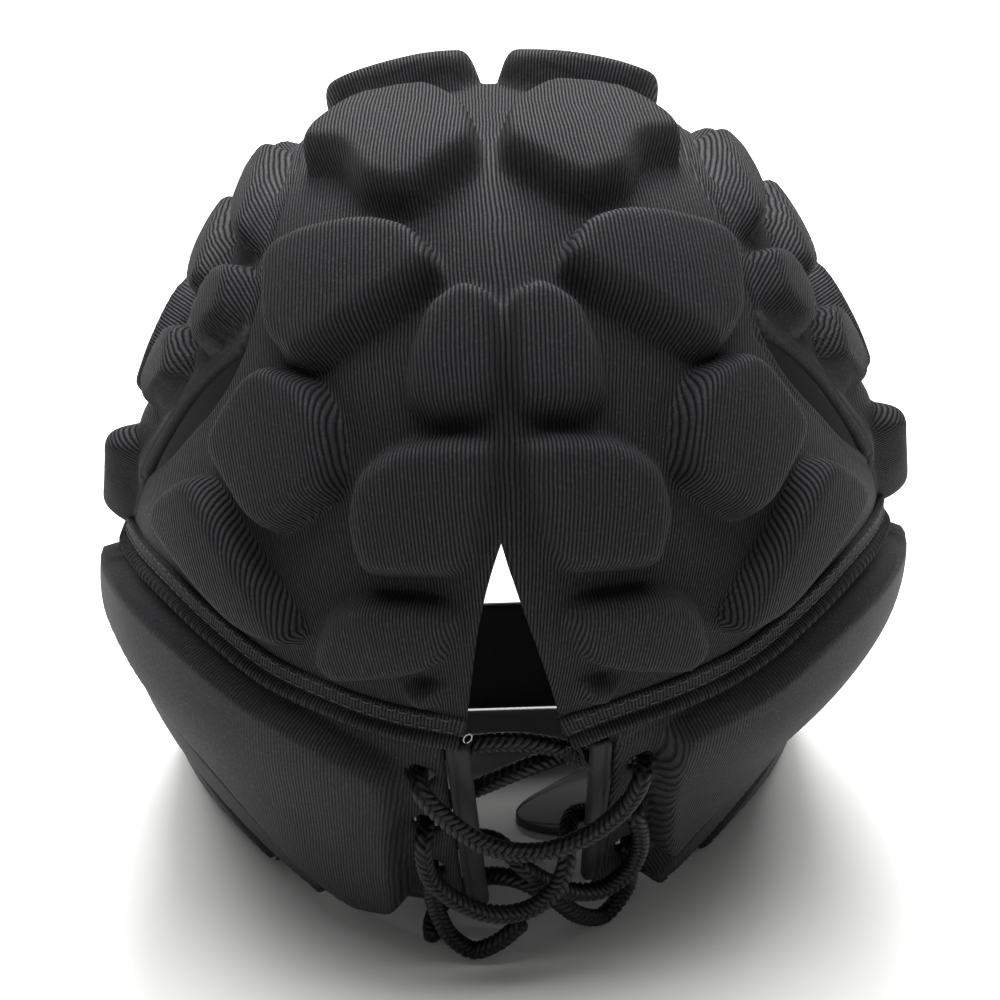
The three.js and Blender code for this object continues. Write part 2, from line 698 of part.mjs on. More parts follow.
function pad(outline, height, rings, side) {
  const corners = outline.length;
  const centre = [0, 1].map((axis) => outline.reduce((sum, spot) => sum + spot[axis], 0) / corners);
  const drawn = (spot, share) => spot.map((value, axis) => centre[axis] + (value - centre[axis]) * share);
  const ring = (share, lift) => outline.map((spot) => lifted(drawn(spot, share), lift));
  const base = size.padGap;
  const full = size.padHeight * height;
  const shoulder = padProfile.at(-1);
  const layers = [];
  for (let k = 1; k <= rings; k += 1) layers.push(ring(k / (rings + 1), base));
  for (const row of padProfile) layers.push(ring(row.width, base + full * row.height));
  for (let k = rings - 1; k >= 1; k -= 1) layers.push(ring((shoulder.width * k) / rings, base + full));
  const triangles = [];
  const add = (a, b, c) => triangles.push(side > 0 ? [a, b, c] : [a, c, b]);
  const under = lifted(centre, base);
  const over = lifted(centre, base + full);
  for (let k = 0; k < corners; k += 1) {
    const next = (k + 1) % corners;
    add(under, layers[0][k], layers[0][next]);
    for (let m = 0; m + 1 < layers.length; m += 1) {
      add(layers[m][k], layers[m + 1][k], layers[m + 1][next]);
      add(layers[m][k], layers[m + 1][next], layers[m][next]);
    }
    add(over, layers.at(-1)[next], layers.at(-1)[k]);
  }
  return facingOut(geometryOf(triangles));
}

// Heights across a long pad from its upper to its lower edge, and how the end rows of the pad drop
const longPadSection = [
  { across: 0, height: 0 },
  { across: 0.06, height: 0.6 },
  { across: 0.2, height: 0.95 },
  { across: 0.5, height: 1 },
  { across: 0.84, height: 0.95 },
  { across: 0.96, height: 0.6 },
  { across: 1, height: 0 },
];

function longPad(upper, lower, height, steps) {
  const above = along(upper, steps);
  const below = along(lower, steps);
  const rings = above.map((spot, k) => {
    const end = k === 0 || k === steps;
    const full = size.padHeight * height * (end ? 0.5 : 1);
    const at = (share) => spot.map((value, axis) => value + (below[k][axis] - value) * share);
    const over = longPadSection.map((row) => lifted(at(row.across), size.longPadGap + full * row.height));
    const under = longPadSection.slice(1, -1).map((row) => lifted(at(row.across), size.longPadGap));
    return [...over, ...under.reverse()];
  });
  return lofted(rings);
}

function napeBandPads(side) {
  const { padEdge, padTop, padFoot, padCorner } = gap[sideName(side)];
  const spots = (z) => [napeSpot(side * padEdge, z)];
  return longPads.map(({ name, upper, lower, height, steps }) => {
    const atLace = name === "nape_pad";
    const above = [...(atLace ? spots(padTop) : []), ...mirrored(upper, side)];
    const below = [...(atLace ? [...spots(padFoot), padCorner] : []), ...mirrored(lower, side)];
    return { name, geometry: longPad(above, below, height, steps) };
  });
}

// A closed geometry turned round if its faces point inwards
function facingOut(geometry) {
  const position = geometry.getAttribute("position");
  const corner = (k) => new THREE.Vector3().fromBufferAttribute(position, k);
  let volume = 0;
  for (let k = 0; k < position.count; k += 3) volume += corner(k).dot(corner(k + 1).cross(corner(k + 2)));
  if (volume > 0) return geometry;
  for (let k = 0; k < position.count; k += 3) {
    const second = corner(k + 1);
    const third = corner(k + 2);
    position.setXYZ(k + 1, third.x, third.y, third.z);
    position.setXYZ(k + 2, second.x, second.y, second.z);
  }
  geometry.computeVertexNormals();
  return geometry;
}

// A ring filled with rungs from its first point to the opposite side
function ladder(ring) {
  const triangles = [];
  let low = 0;
  let high = ring.length - 1;
  while (high - low > 1) {
    triangles.push([ring[low], ring[low + 1], ring[high]]);
    low += 1;
    if (high - low < 2) break;
    triangles.push([ring[low], ring[high - 1], ring[high]]);
    high -= 1;
  }
  return triangles;
}

// A closed solid through rings of equal length, with filled ends
function lofted(rings) {
  const triangles = [];
  const count = rings[0].length;
  for (let i = 0; i + 1 < rings.length; i += 1) {
    for (let k = 0; k < count; k += 1) {
      const next = (k + 1) % count;
      triangles.push([rings[i][k], rings[i][next], rings[i + 1][next]]);
      triangles.push([rings[i][k], rings[i + 1][next], rings[i + 1][k]]);
    }
  }
  triangles.push(...ladder(rings[0]).map(([a, b, c]) => [a, c, b]), ...ladder(rings.at(-1)));
  return facingOut(geometryOf(triangles));
}

// Half the section of the piping: width is a share of half pipingWidth, height of pipingHeight
const pipingSection = [
  { width: -1, height: 0 },
  { width: -0.72, height: 0.74 },
  { width: 0, height: 1 },
  { width: 0.72, height: 0.74 },
  { width: 1, height: 0 },
];
const pipingSteps = { back: 14, side: 12 };

function seamPiping(side) {
  const place = gap[sideName(side)];
  const top = napeSpot(side * (place.slitFoot + 1), place.bandTop + 1);
  const back = [top, ...mirrored(seams.lowerSeamBack, side).slice(side < 0 ? 1 : 2)];
  const sideSeam = mirrored(seams.lowerSeamSide, side);
  const spots = joined(along(back, pipingSteps.back), along(sideSeam, pipingSteps.side));
  const line = spots.map((spot) => lifted(spot, size.padGap));
  const rings = spots.map((spot, k) => {
    const ahead = line[Math.min(k + 1, line.length - 1)].clone().sub(line[Math.max(k - 1, 0)]);
    const up = shellNormal(...spot);
    const across = up.clone().cross(ahead).normalize();
    return pipingSection.map(({ width, height }) =>
      line[k]
        .clone()
        .addScaledVector(across, (width * size.pipingWidth) / 2)
        .addScaledVector(up, height * size.pipingHeight),
    );
  });
  return lofted(rings);
}

// How far the edge of the laced gap lies from the middle plane at a height
function gapEdge({ tabTop, tabFoot, edgeTop, edgeFoot }, z) {
  return edgeTop + ((edgeFoot - edgeTop) * (tabTop - z)) / (tabTop - tabFoot);
}

// A smooth binding down one side of the laced gap
const tabRows = 6;
const tabColumns = 2;

function laceTab(side) {
  const place = gap[sideName(side)];
  const grid = [];
  for (let i = 0; i <= tabRows; i += 1) {
    const z = place.tabTop + (place.tabFoot - place.tabTop) * (i / tabRows);
    const row = [];
    for (let j = 0; j <= tabColumns; j += 1) {
      const width = (place.tabWidth - size.seamGap / 2) * (j / tabColumns);
      row.push(napeSpot(side * (gapEdge(place, z) + width), z));
    }
    grid.push(row);
  }
  return gridWall(grid, side, (size.tabThickness - size.wall) / 2, -(size.tabThickness + size.wall) / 2);
}

// The lace as a round cord with flat ends
function lace() {
  const curve = new THREE.CatmullRomCurve3(laceRoute.map(napePoint), false, "centripetal");
  const points = curve.getSpacedPoints(size.laceSteps);
  const frames = curve.computeFrenetFrames(size.laceSteps, false);
  const rings = points.map((point, k) =>
    Array.from({ length: size.laceSides }, (_, m) => {
      const turn = (2 * Math.PI * m) / size.laceSides;
      return point
        .clone()
        .addScaledVector(frames.normals[k], (Math.cos(turn) * size.laceDiameter) / 2)
        .addScaledVector(frames.binormals[k], (Math.sin(turn) * size.laceDiameter) / 2);
    }),
  );
  return lofted(rings);
}

// A flat strap along a route, upright or leaning over to lie flat
function strap(route, steps) {
  const curve = new THREE.CatmullRomCurve3(
    route.map(({ x, y, z }) => new THREE.Vector3(x, y, z)),
    false,
    "centripetal",
  );
  const shape = new THREE.SplineCurve(route.map(({ lean, width }) => new THREE.Vector2(lean, width)));
  const upward = new THREE.Vector3(0, 0, 1);
  const rings = [];
  for (let k = 0; k <= steps; k += 1) {
    const t = k / steps;
    const point = curve.getPoint(t);
    const ahead = curve.getTangent(t).setZ(0).normalize();
    const level = new THREE.Vector3(-ahead.y, ahead.x, 0);
    const lean = THREE.MathUtils.degToRad(shape.getPoint(t).x);
    const wide = upward.clone().multiplyScalar(Math.cos(lean)).addScaledVector(level, Math.sin(lean));
    const thin = level.clone().multiplyScalar(Math.cos(lean)).addScaledVector(upward, -Math.sin(lean));
    const w = (size.strapWidth / 2) * shape.getPoint(t).y;
    const h = size.strapThickness / 2;
    rings.push(
      [[-w, -h], [w, -h], [w, h], [-w, h]].map(([a, b]) =>
        point.clone().addScaledVector(wide, a).addScaledVector(thin, b),
      ),
    );
  }
  return lofted(rings);
}

// The hook and loop patch between the two straps, in the middle of the overlap of their straight runs
function strapClosure() {
  const outerRun = strapRoutes.short.at(-1);
  const innerRun = strapRoutes.long.find(({ x, lean }) => x > outerRun.x && lean === 0);
  const between = (outerRun.y + innerRun.y) / 2;
  return new THREE.BoxGeometry(size.closureLength, size.closureThickness, size.closureHeight).translate(
    outerRun.x + size.closureLength / 2 + 1,
    between,
    outerRun.z,
  );
}

const materials = Object.fromEntries(
  Object.entries(finishes).map(([name, { colour, roughness }]) => {
    const material = new THREE.MeshStandardMaterial({ color: colour, roughness, metalness: 0 });
    material.name = name;
    return [name, material];
  }),
);

const cap = new THREE.Group();
cap.name = "scrum_cap";

function add(name, geometry, finish) {
  const mesh = new THREE.Mesh(geometry, materials[finish]);
  mesh.name = name;
  cap.add(mesh);
}

add("crown_panel", crownPanel(), "ribbedCloth");
for (const side of [-1, 1]) {
  const hand = sideName(side);
  add(`side_panel_${hand}`, sidePanel(side), "ribbedCloth");
  add(`nape_band_${hand}`, napeBand(side), "ribbedCloth");
  for (const { name, outline, height, rings } of pads) {
    add(`${name}_${hand}`, pad(rounded(mirrored(outline, side)), height, rings, side), "ribbedCloth");
  }
  for (const { name, geometry } of napeBandPads(side)) add(`${name}_${hand}`, geometry, "ribbedCloth");
  add(`seam_piping_${hand}`, seamPiping(side), "ribbedCloth");
  add(`lace_tab_${hand}`, laceTab(side), "bindingTape");
}
add("lace", lace(), "braidedCord");
add("chin_strap_left", strap(strapRoutes.long, 28), "strapCloth");
add("chin_strap_right", strap(strapRoutes.short, 10), "strapCloth");
add("strap_closure", strapClosure(), "strapCloth");

// The origin is at the middle of the cap's box, on the floor
const box = new THREE.Box3().setFromObject(cap);
const middle = box.getCenter(new THREE.Vector3());
cap.position.set(-middle.x, -middle.y, -box.min.z);

export default cap;
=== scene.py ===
"""Looks of a rugby scrum cap: rib knit over foam pads, bound seams, a braided lace and a chin strap."""

from __future__ import annotations

import logging
from dataclasses import dataclass
from enum import Enum

import bpy
import numpy as np
from mathutils import Matrix, Vector


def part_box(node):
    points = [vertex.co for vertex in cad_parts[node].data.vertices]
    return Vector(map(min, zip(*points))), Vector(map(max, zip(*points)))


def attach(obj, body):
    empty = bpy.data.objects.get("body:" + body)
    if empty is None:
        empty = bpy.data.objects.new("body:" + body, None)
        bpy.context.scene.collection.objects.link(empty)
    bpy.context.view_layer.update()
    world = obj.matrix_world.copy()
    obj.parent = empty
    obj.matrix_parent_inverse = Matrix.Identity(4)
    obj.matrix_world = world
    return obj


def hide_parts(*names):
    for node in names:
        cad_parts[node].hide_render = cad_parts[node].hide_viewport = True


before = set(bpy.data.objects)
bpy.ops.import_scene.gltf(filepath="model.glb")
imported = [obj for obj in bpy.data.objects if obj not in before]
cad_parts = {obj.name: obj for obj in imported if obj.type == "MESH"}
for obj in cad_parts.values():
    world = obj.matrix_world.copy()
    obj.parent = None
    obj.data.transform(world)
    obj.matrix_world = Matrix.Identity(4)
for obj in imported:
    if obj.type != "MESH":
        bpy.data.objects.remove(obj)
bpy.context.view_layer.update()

LOG = logging.getLogger("scrum_cap")
MM = 0.001
Array = np.ndarray


class Hand(Enum):
    """A side of the cap, with the sign of its x coordinate."""

    LEFT = -1
    RIGHT = 1

    @property
    def word(self) -> str:
        """The side's name as the frame's nodes spell it."""
        return self.name.lower()


def smooth(x: Array) -> Array:
    """Rise from 0 to 1 with level ends, for x from 0 to 1."""
    x = np.clip(x, 0, 1)
    return x * x * (3 - 2 * x)


def unit(vectors: Array) -> Array:
    """Vectors brought to length one, shape (n, 3)."""
    return vectors / np.linalg.norm(vectors, axis=1, keepdims=True)


def monotone_column(down: Array, values: Array, at: Array) -> Array:
    """Read a table column as a smooth curve that never overshoots its rows.

    The curve is a cubic between rows. Its slope at a row is the weighted harmonic mean of the rises on both
    sides, and zero where they differ in sign.

    Args:
        down: The rows' places, rising.
        values: The column.
        at: Places to read, held between the first and the last row.

    Returns:
        The values there.
    """
    step = np.diff(down)
    rise = np.diff(values) / step
    slope = np.empty_like(values)
    slope[0], slope[-1] = rise[0], rise[-1]
    before = 2 * step[1:] + step[:-1]
    after = step[1:] + 2 * step[:-1]
    same = rise[:-1] * rise[1:] > 0
    safe = np.where(same, rise[:-1], 1), np.where(same, rise[1:], 1)
    slope[1:-1] = np.where(same, (before + after) / (before / safe[0] + after / safe[1]), 0)
    at = np.clip(at, 0, 1)
    k = np.clip(np.searchsorted(down, at, side="right") - 1, 0, len(step) - 1)
    h = step[k]
    t = (at - down[k]) / h
    return (
        (1 + 2 * t) * (1 - t) ** 2 * values[k]
        + t * (1 - t) ** 2 * h * slope[k]
        + t * t * (3 - 2 * t) * values[k + 1]
        + t * t * (t - 1) * h * slope[k + 1]
    )


@dataclass(frozen=True)
class ShellForm:
    """The soft shell's outer face as a function of two numbers on a flat crown map.

    On the map the distance from the middle is the share of the way down from the crown, the first number
    points to the side and the second to the back.
    """

    width: float = 194.0
    length: float = 216.0
    height: float = 184.0
    down: tuple[float, ...] = (0, 0.1, 0.2, 0.32, 0.45, 0.58, 0.7, 0.8, 0.9, 1)
    tall: tuple[float, ...] = (1, 0.99, 0.95, 0.85, 0.7, 0.54, 0.39, 0.26, 0.13, 0)
    side: tuple[float, ...] = (0, 0.275, 0.49, 0.67, 0.83, 0.945, 0.985, 0.925, 0.88, 0.855)
    back: tuple[float, ...] = (0, 0.29, 0.54, 0.77, 0.93, 0.99, 0.97, 0.89, 0.78, 0.65)
    front: tuple[float, ...] = (0, 0.34, 0.62, 0.85, 0.97, 1, 0.98, 0.94, 0.88, 0.82)
    middle: tuple[float, ...] = (0, 0, 0, 0, 0, 0, 0.03, 0.1, 0.22, 0.34)
    roundness: tuple[float, ...] = (2, 2.1, 2.2, 2.2, 2.2, 2.1, 1.95, 1.8, 1.7, 1.6)
    lean: tuple[float, ...] = (0, 0, -0.01, -0.02, -0.02, -0.018, 0, 0.038, 0.055, 0.055)

    def read(self, column: tuple[float, ...], at: Array) -> Array:
        """Read one column of the level table at shares of the way down."""
        return monotone_column(np.array(self.down, float), np.array(column, float), at)

    def points(self, spots: Array) -> Array:
        """Place spots of the crown map on the shell.

        Each level is a superellipse: the side coordinate is the half width times a power of the sine of the
        angle, and the long one is the reach to the back or front times the same power of its cosine.

        Args:
            spots: Map places, shape (n, 2).

        Returns:
            Points in millimetres, shape (n, 3).
        """
        down = np.maximum(np.hypot(spots[:, 0], spots[:, 1]), 1e-9)
        sine, cosine = spots[:, 0] / down, -spots[:, 1] / down
        power = 2 / self.read(self.roundness, down)
        half = self.length / 2
        middle = self.read(self.middle, down) * half
        to_back = middle + self.read(self.back, down) * half
        to_front = self.read(self.front, down) * half - middle
        reach = np.where(cosine < 0, to_back, to_front)
        bulge = self.read(self.side, down) * np.sign(sine) * np.abs(sine) ** power
        x = self.width / 2 * (bulge - self.read(self.lean, down))
        y = middle + reach * np.sign(cosine) * np.abs(cosine) ** power
        return np.stack([x, y, self.read(self.tall, down) * self.height], -1)

    def normals(self, spots: Array) -> Array:
        """Outward directions: the cross product of the shell's two slopes, just inside the floor line.

        Args:
            spots: Map places, shape (n, 2).

        Returns:
            Directions of length one, shape (n, 3).
        """
        step = 0.004
        down = np.hypot(spots[:, 0], spots[:, 1])[:, None]
        spots = np.where(down > 1 - step, spots * (1 - step) / np.maximum(down, 1e-9), spots)
        to_side = self.points(spots + [step, 0]) - self.points(spots - [step, 0])
        to_back = self.points(spots + [0, step]) - self.points(spots - [0, step])
        return unit(np.cross(to_back, to_side))

    def lifted(self, spots: Array, lift: Array | float) -> Array:
        """Points raised off the shell along its normals, with what lies past the floor line on the floor.

        Args:
            spots: Map places, shape (n, 2).
            lift: One height in millimetres, or one for each spot.

        Returns:
            Points in millimetres, shape (n, 3).
        """
        points = self.points(spots) + self.normals(spots) * np.reshape(lift, (-1, 1))
        past = np.hypot(spots[:, 0], spots[:, 1]) >= 1
        points[:, 2] = np.where(past, 0, np.maximum(points[:, 2], 0))
        return points

    def nape_spots(self, x: Array, z: Array) -> Array:
        """Map places on the back of the shell, by halving the range of the way down.

        Args:
            x: Places to the side in millimetres.
            z: Heights in millimetres.

        Returns:
            Map places, with one more axis than x and z.
        """
        x, z = np.broadcast_arrays(np.asarray(x, float), np.asarray(z, float))
        high, low = np.zeros(x.shape), np.ones(x.shape)
        for _ in range(40):
            down = (high + low) / 2
            above = self.read(self.tall, down) * self.height > z
            high, low = np.where(above, down, high), np.where(above, low, down)
        share = (x / (self.width / 2) + self.read(self.lean, down)) / self.read(self.side, down)
        sine = np.sign(share) * np.abs(share) ** (self.read(self.roundness, down) / 2)
        return np.stack([down * sine, down * np.sqrt(1 - sine * sine)], -1)

    def nape_points(self, rows: Array) -> Array:
        """Points behind the nape from rows of x, z and the distance out from the shell straight back."""
        y = self.points(self.nape_spots(rows[:, 0], rows[:, 1]))[:, 1] - rows[:, 2]
        return np.stack([rows[:, 0], y, rows[:, 1]], -1)


SHELL = ShellForm()


CLOSURE_MIDDLE = (40.0, 42.0)


def frame_shift() -> Array:
    """Offset in millimetres from the shell's own origin to the frame's, told by the closure's node."""
    low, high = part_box("strap_closure")
    x, y = ((low + high) / 2 / MM).xy
    return np.array([x - CLOSURE_MIDDLE[0], y - CLOSURE_MIDDLE[1], 0])


SHIFT = frame_shift()


def hermite(p: Array, before: Array, after: Array, k: Array, u: Array) -> Array:
    """Cubic between neighbouring rows, with given slopes at both ends.

    Args:
        p: The rows.
        before: The slope at the start of each stretch.
        after: The slope at its end.
        k: The number of the stretch that each place lies in.
        u: The share of the way along it.

    Returns:
        One place for each k.
    """
    u = u[:, None]
    a, b, v, w = p[k], p[k + 1], before[k], after[k]
    return (2 * a - 2 * b + v + w) * u**3 + (3 * b - 3 * a - 2 * v - w) * u**2 + v * u + a


def through(points: Array, at: Array, centripetal: bool) -> Array:
    """Smooth curve through points.

    The slope at a row is half the step between its neighbours. On a centripetal curve the steps are first
    divided by the square root of their lengths, which keeps loops out of short segments.

    Args:
        points: The rows that it passes.
        at: Parameters from 0 to 1, which count rows evenly.
        centripetal: Whether the steps are divided so.

    Returns:
        The curve's places at those parameters.
    """
    p = np.asarray(points, float)
    if centripetal:
        q = np.vstack([2 * p[0] - p[1], p, 2 * p[-1] - p[-2]])
        gap = np.sqrt(np.linalg.norm(np.diff(q, axis=0), axis=1))[:, None]
        rate = np.diff(q, axis=0) / gap
        skip = (q[2:] - q[:-2]) / (gap[1:] + gap[:-1])
        slope = rate[:-1] - skip + rate[1:]
        before, after = slope[:-1] * gap[1:-1], slope[1:] * gap[1:-1]
    else:
        q = np.vstack([p[:1], p, p[-1:]])
        slope = (q[2:] - q[:-2]) / 2
        before, after = slope[:-1], slope[1:]
    t = np.asarray(at, float) * (len(p) - 1)
    k = np.clip(t.astype(int), 0, len(p) - 2)
    return hermite(p, before, after, k, t - k)


def evenly(points: Array, steps: int, centripetal: bool = False) -> Array:
    """The smooth curve through points, cut into equal lengths.

    Args:
        points: The rows that it passes.
        steps: How many lengths it is cut into.
        centripetal: Whether loops are kept out of short segments.

    Returns:
        The steps + 1 places between the cuts.
    """
    dense = through(points, np.linspace(0, 1, 24 * len(points)), centripetal)
    length = np.concatenate([[0], np.cumsum(np.linalg.norm(np.diff(dense, axis=0), axis=1))])
    at = np.linspace(0, length[-1], steps + 1)
    return np.stack([np.interp(at, length, column) for column in dense.T], -1)


def joined(*legs: Array) -> Array:
    """Curves joined end to end, without the doubled points."""
    return np.vstack([legs[0], *(leg[1:] for leg in legs[1:])])


def mirrored(rows: tuple[tuple[float, float], ...], hand: Hand) -> Array:
    """Map rows of the right side, turned over for the left."""
    return np.array(rows, float) * [hand.value, 1]


def filled(near: Array, far: Array, start: Array, end: Array) -> Array:
    """Fill a grid between four edges: the sum of the two ruled sheets less the one through the corners.

    Args:
        near: The edge along the first column.
        far: The edge along the last column.
        start: The edge along the first row.
        end: The edge along the last row.

    Returns:
        Map places, shape (rows, columns, 2).
    """
    v = np.linspace(0, 1, len(near))[:, None, None]
    u = np.linspace(0, 1, len(start))[None, :, None]
    ruled = near[:, None] * (1 - u) + far[:, None] * u
    across = start[None] * (1 - v) + end[None] * v
    top = near[0] * (1 - u) + far[0] * u
    foot = near[-1] * (1 - u) + far[-1] * u
    return ruled + across - (top * (1 - v) + foot * v)


def corners_cut(outline: Array, shares: tuple[float, ...] = (0.17, 0.25, 0.25)) -> Array:
    """A closed outline with each corner cut off again and again.

    Args:
        outline: Map places, shape (n, 2).
        shares: How much of a side each round of cuts takes at both its ends.

    Returns:
        The rounder outline.
    """
    for share in shares:
        after = np.roll(outline, -1, axis=0)
        cuts = [(1 - share) * outline + share * after, share * outline + (1 - share) * after]
        outline = np.stack(cuts, 1).reshape(-1, 2)
    return outline


def line_distance(points: Array, line: Array, reach: float) -> Array:
    """Distance from points to a polyline.

    Each point is dropped on each segment, with its place along the segment held between the ends, and the
    nearest of those feet counts. Only points inside the line's box grown by reach are worked out.

    Args:
        points: Shape (n, 3), in millimetres.
        line: Shape (m, 3), in millimetres.
        reach: The distance at which larger ones are held.

    Returns:
        One distance a point, in millimetres.
    """
    pairs_at_once = 1_500_000
    result = np.full(len(points), float(reach))
    low, high = line.min(0) - reach, line.max(0) + reach
    near = np.flatnonzero(np.all((points >= low) & (points <= high), axis=1))
    a, ab = line[:-1], np.diff(line, axis=0)
    square = np.maximum((ab * ab).sum(-1), 1e-12)
    for part in np.array_split(near, 1 + len(near) * len(ab) // pairs_at_once):
        p = points[part][:, None] - a
        t = np.clip((p * ab).sum(-1) / square, 0, 1)
        foot = p - t[..., None] * ab
        result[part] = np.minimum(np.sqrt((foot * foot).sum(-1)).min(1, initial=reach), reach)
    return result


def inside(spots: Array, outline: Array) -> Array:
    """Which map spots lie inside a closed outline: a ray to the side crosses it an odd number of times.

    Args:
        spots: Map places, shape (n, 2).
        outline: The outline's corners, shape (m, 2).

    Returns:
        One truth value a spot.
    """
    x, y = spots[:, :1], spots[:, 1:]
    a, b = outline, np.roll(outline, -1, axis=0)
    between = (a[:, 1] > y) != (b[:, 1] > y)
    rise = np.where(b[:, 1] == a[:, 1], 1e-9, b[:, 1] - a[:, 1])
    return (between & (x < (b[:, 0] - a[:, 0]) * (y - a[:, 1]) / rise + a[:, 0])).sum(1) % 2 == 1


@dataclass(frozen=True)
class FoamPad:
    """A foam pad under the cloth, with its outline on the crown map.

    The height is a share of a full pad's. The shoulder, toe and swell are widths in millimetres, crown and
    fillet are shares that shape the top and the toe, and low_shoulder is the least share of the shoulder.
    """

    name: str
    height: float
    outline: tuple[tuple[float, float], ...]
    shoulder: float = 5.0
    low_shoulder: float = 0.4
    toe: float = 0.8
    fillet: float = 0.12
    crown: float = 0.1
    swell: float = 9.0
    margin: float = 0.05
    reach: float = 40.0

    def rise(self, spots: Array, points: Array, hand: Hand, full: float) -> Array:
        """How far the cloth stands off the shell over the pad.

        With d the distance inside the outline, the side climbs as one less the cube of what is left of the
        shoulder's width, with a short hollow fillet at its toe, and the top goes on to crown gently.

        Args:
            spots: Map places of the cloth's points.
            points: The same places on the shell in millimetres.
            hand: The side that the pad is on.
            full: The height of a full pad in millimetres.

        Returns:
            Heights in millimetres, zero away from the pad.
        """
        outline = corners_cut(mirrored(self.outline, hand))
        low, high = outline.min(0) - self.margin, outline.max(0) + self.margin
        near = np.flatnonzero(np.all((spots >= low) & (spots <= high), axis=1))
        result = np.zeros(len(spots))
        loop = SHELL.points(np.vstack([outline, outline[:1]]))
        d = line_distance(points[near], loop, self.reach)
        d = np.where(inside(spots[near], outline), d, -d)
        width = self.shoulder * (self.low_shoulder + (1 - self.low_shoulder) * self.height)
        x = np.clip((d + self.toe) / (width + self.toe), 0, 1)
        x = (1 + self.fillet) * x * x / (x + self.fillet)
        side = 1 - (1 - x) ** 3
        top = self.crown * (1 - np.exp(-np.maximum(d, 0) / self.swell))
        result[near] = full * self.height * side * (1 - self.crown / 2 + top)
        return result


@dataclass(frozen=True)
class Seams:
    """Seam lines on the crown map, right side. Both sides use the same rows."""

    centre: tuple = ((0, -0.6), (0, -0.4), (0, -0.2), (0, 0), (0, 0.2), (0, 0.4), (-0.008, 0.49))
    brow_centre: tuple = ((0, -0.6), (0.1, -0.592), (0.2, -0.565))
    brow_side: tuple = ((0.2, -0.565), (0.33, -0.5), (0.46, -0.386))
    side: tuple = (
        (0.2, -0.565), (0.205, -0.4), (0.2, -0.2), (0.197, -0.03), (0.207, 0.06), (0.238, 0.125),
        (0.262, 0.17), (0.29, 0.222),
    )
    vent_inner: tuple = ((0.29, 0.222), (0.325, 0.237), (0.38, 0.232), (0.45, 0.21), (0.52, 0.155))
    vent_outer: tuple = ((0.29, 0.222), (0.34, 0.204), (0.395, 0.187), (0.455, 0.172), (0.52, 0.155))
    vent_to_lower: tuple = ((0.52, 0.155), (0.58, 0.13), (0.64, 0.1))
    lower_back: tuple = (
        (0.085, 0.68), (0.17, 0.655), (0.255, 0.615), (0.355, 0.545), (0.435, 0.452), (0.51, 0.342),
        (0.575, 0.235), (0.64, 0.1),
    )
    lower_side: tuple = ((0.64, 0.1), (0.665, 0.01), (0.652, -0.1), (0.59, -0.24), (0.46, -0.386))
    band_front: tuple = ((0.46, -0.386), (0.64, -0.42), (0.78, -0.43), (0.9, -0.435))
    band_foot: tuple = (
        (0.37, 0.885), (0.57, 0.8), (0.75, 0.675), (0.92, 0.44), (1.02, 0.02), (0.98, -0.26),
        (0.9, -0.435),
    )


SEAMS = Seams()


@dataclass(frozen=True)
class NapeGap:
    """One side of the laced gap, in millimetres from the middle plane and above the floor."""

    slit_foot: float
    band_top: float
    band_foot: float
    tab_top: float
    tab_foot: float
    edge_top: float
    edge_foot: float
    tab_width: float
    pad_edge: float
    pad_top: float
    pad_foot: float
    pad_corner: tuple[float, float]
    slit_bends: tuple

    def edge(self, z: Array | float) -> Array | float:
        """How far the gap's edge lies from the middle plane at a height."""
        share = (self.tab_top - z) / (self.tab_top - self.tab_foot)
        return self.edge_top + (self.edge_foot - self.edge_top) * share


GAPS = {
    Hand.LEFT: NapeGap(
        slit_foot=9, band_top=74, band_foot=12, tab_top=72.4, tab_foot=14, edge_top=8.3, edge_foot=5.4,
        tab_width=5.6, pad_edge=23.3, pad_top=66, pad_foot=15, pad_corner=(-0.4, 0.865),
        slit_bends=((-0.029, 0.541), (-0.046, 0.592)),
    ),
    Hand.RIGHT: NapeGap(
        slit_foot=12, band_top=73, band_foot=20, tab_top=71.4, tab_foot=16, edge_top=18.2, edge_foot=17,
        tab_width=5.2, pad_edge=33.2, pad_top=65, pad_foot=23, pad_corner=(0.49, 0.79),
        slit_bends=((0.008, 0.543), (0.038, 0.606)),
    ),
}

PAD_FULL = 9.0
WALL = 2.2

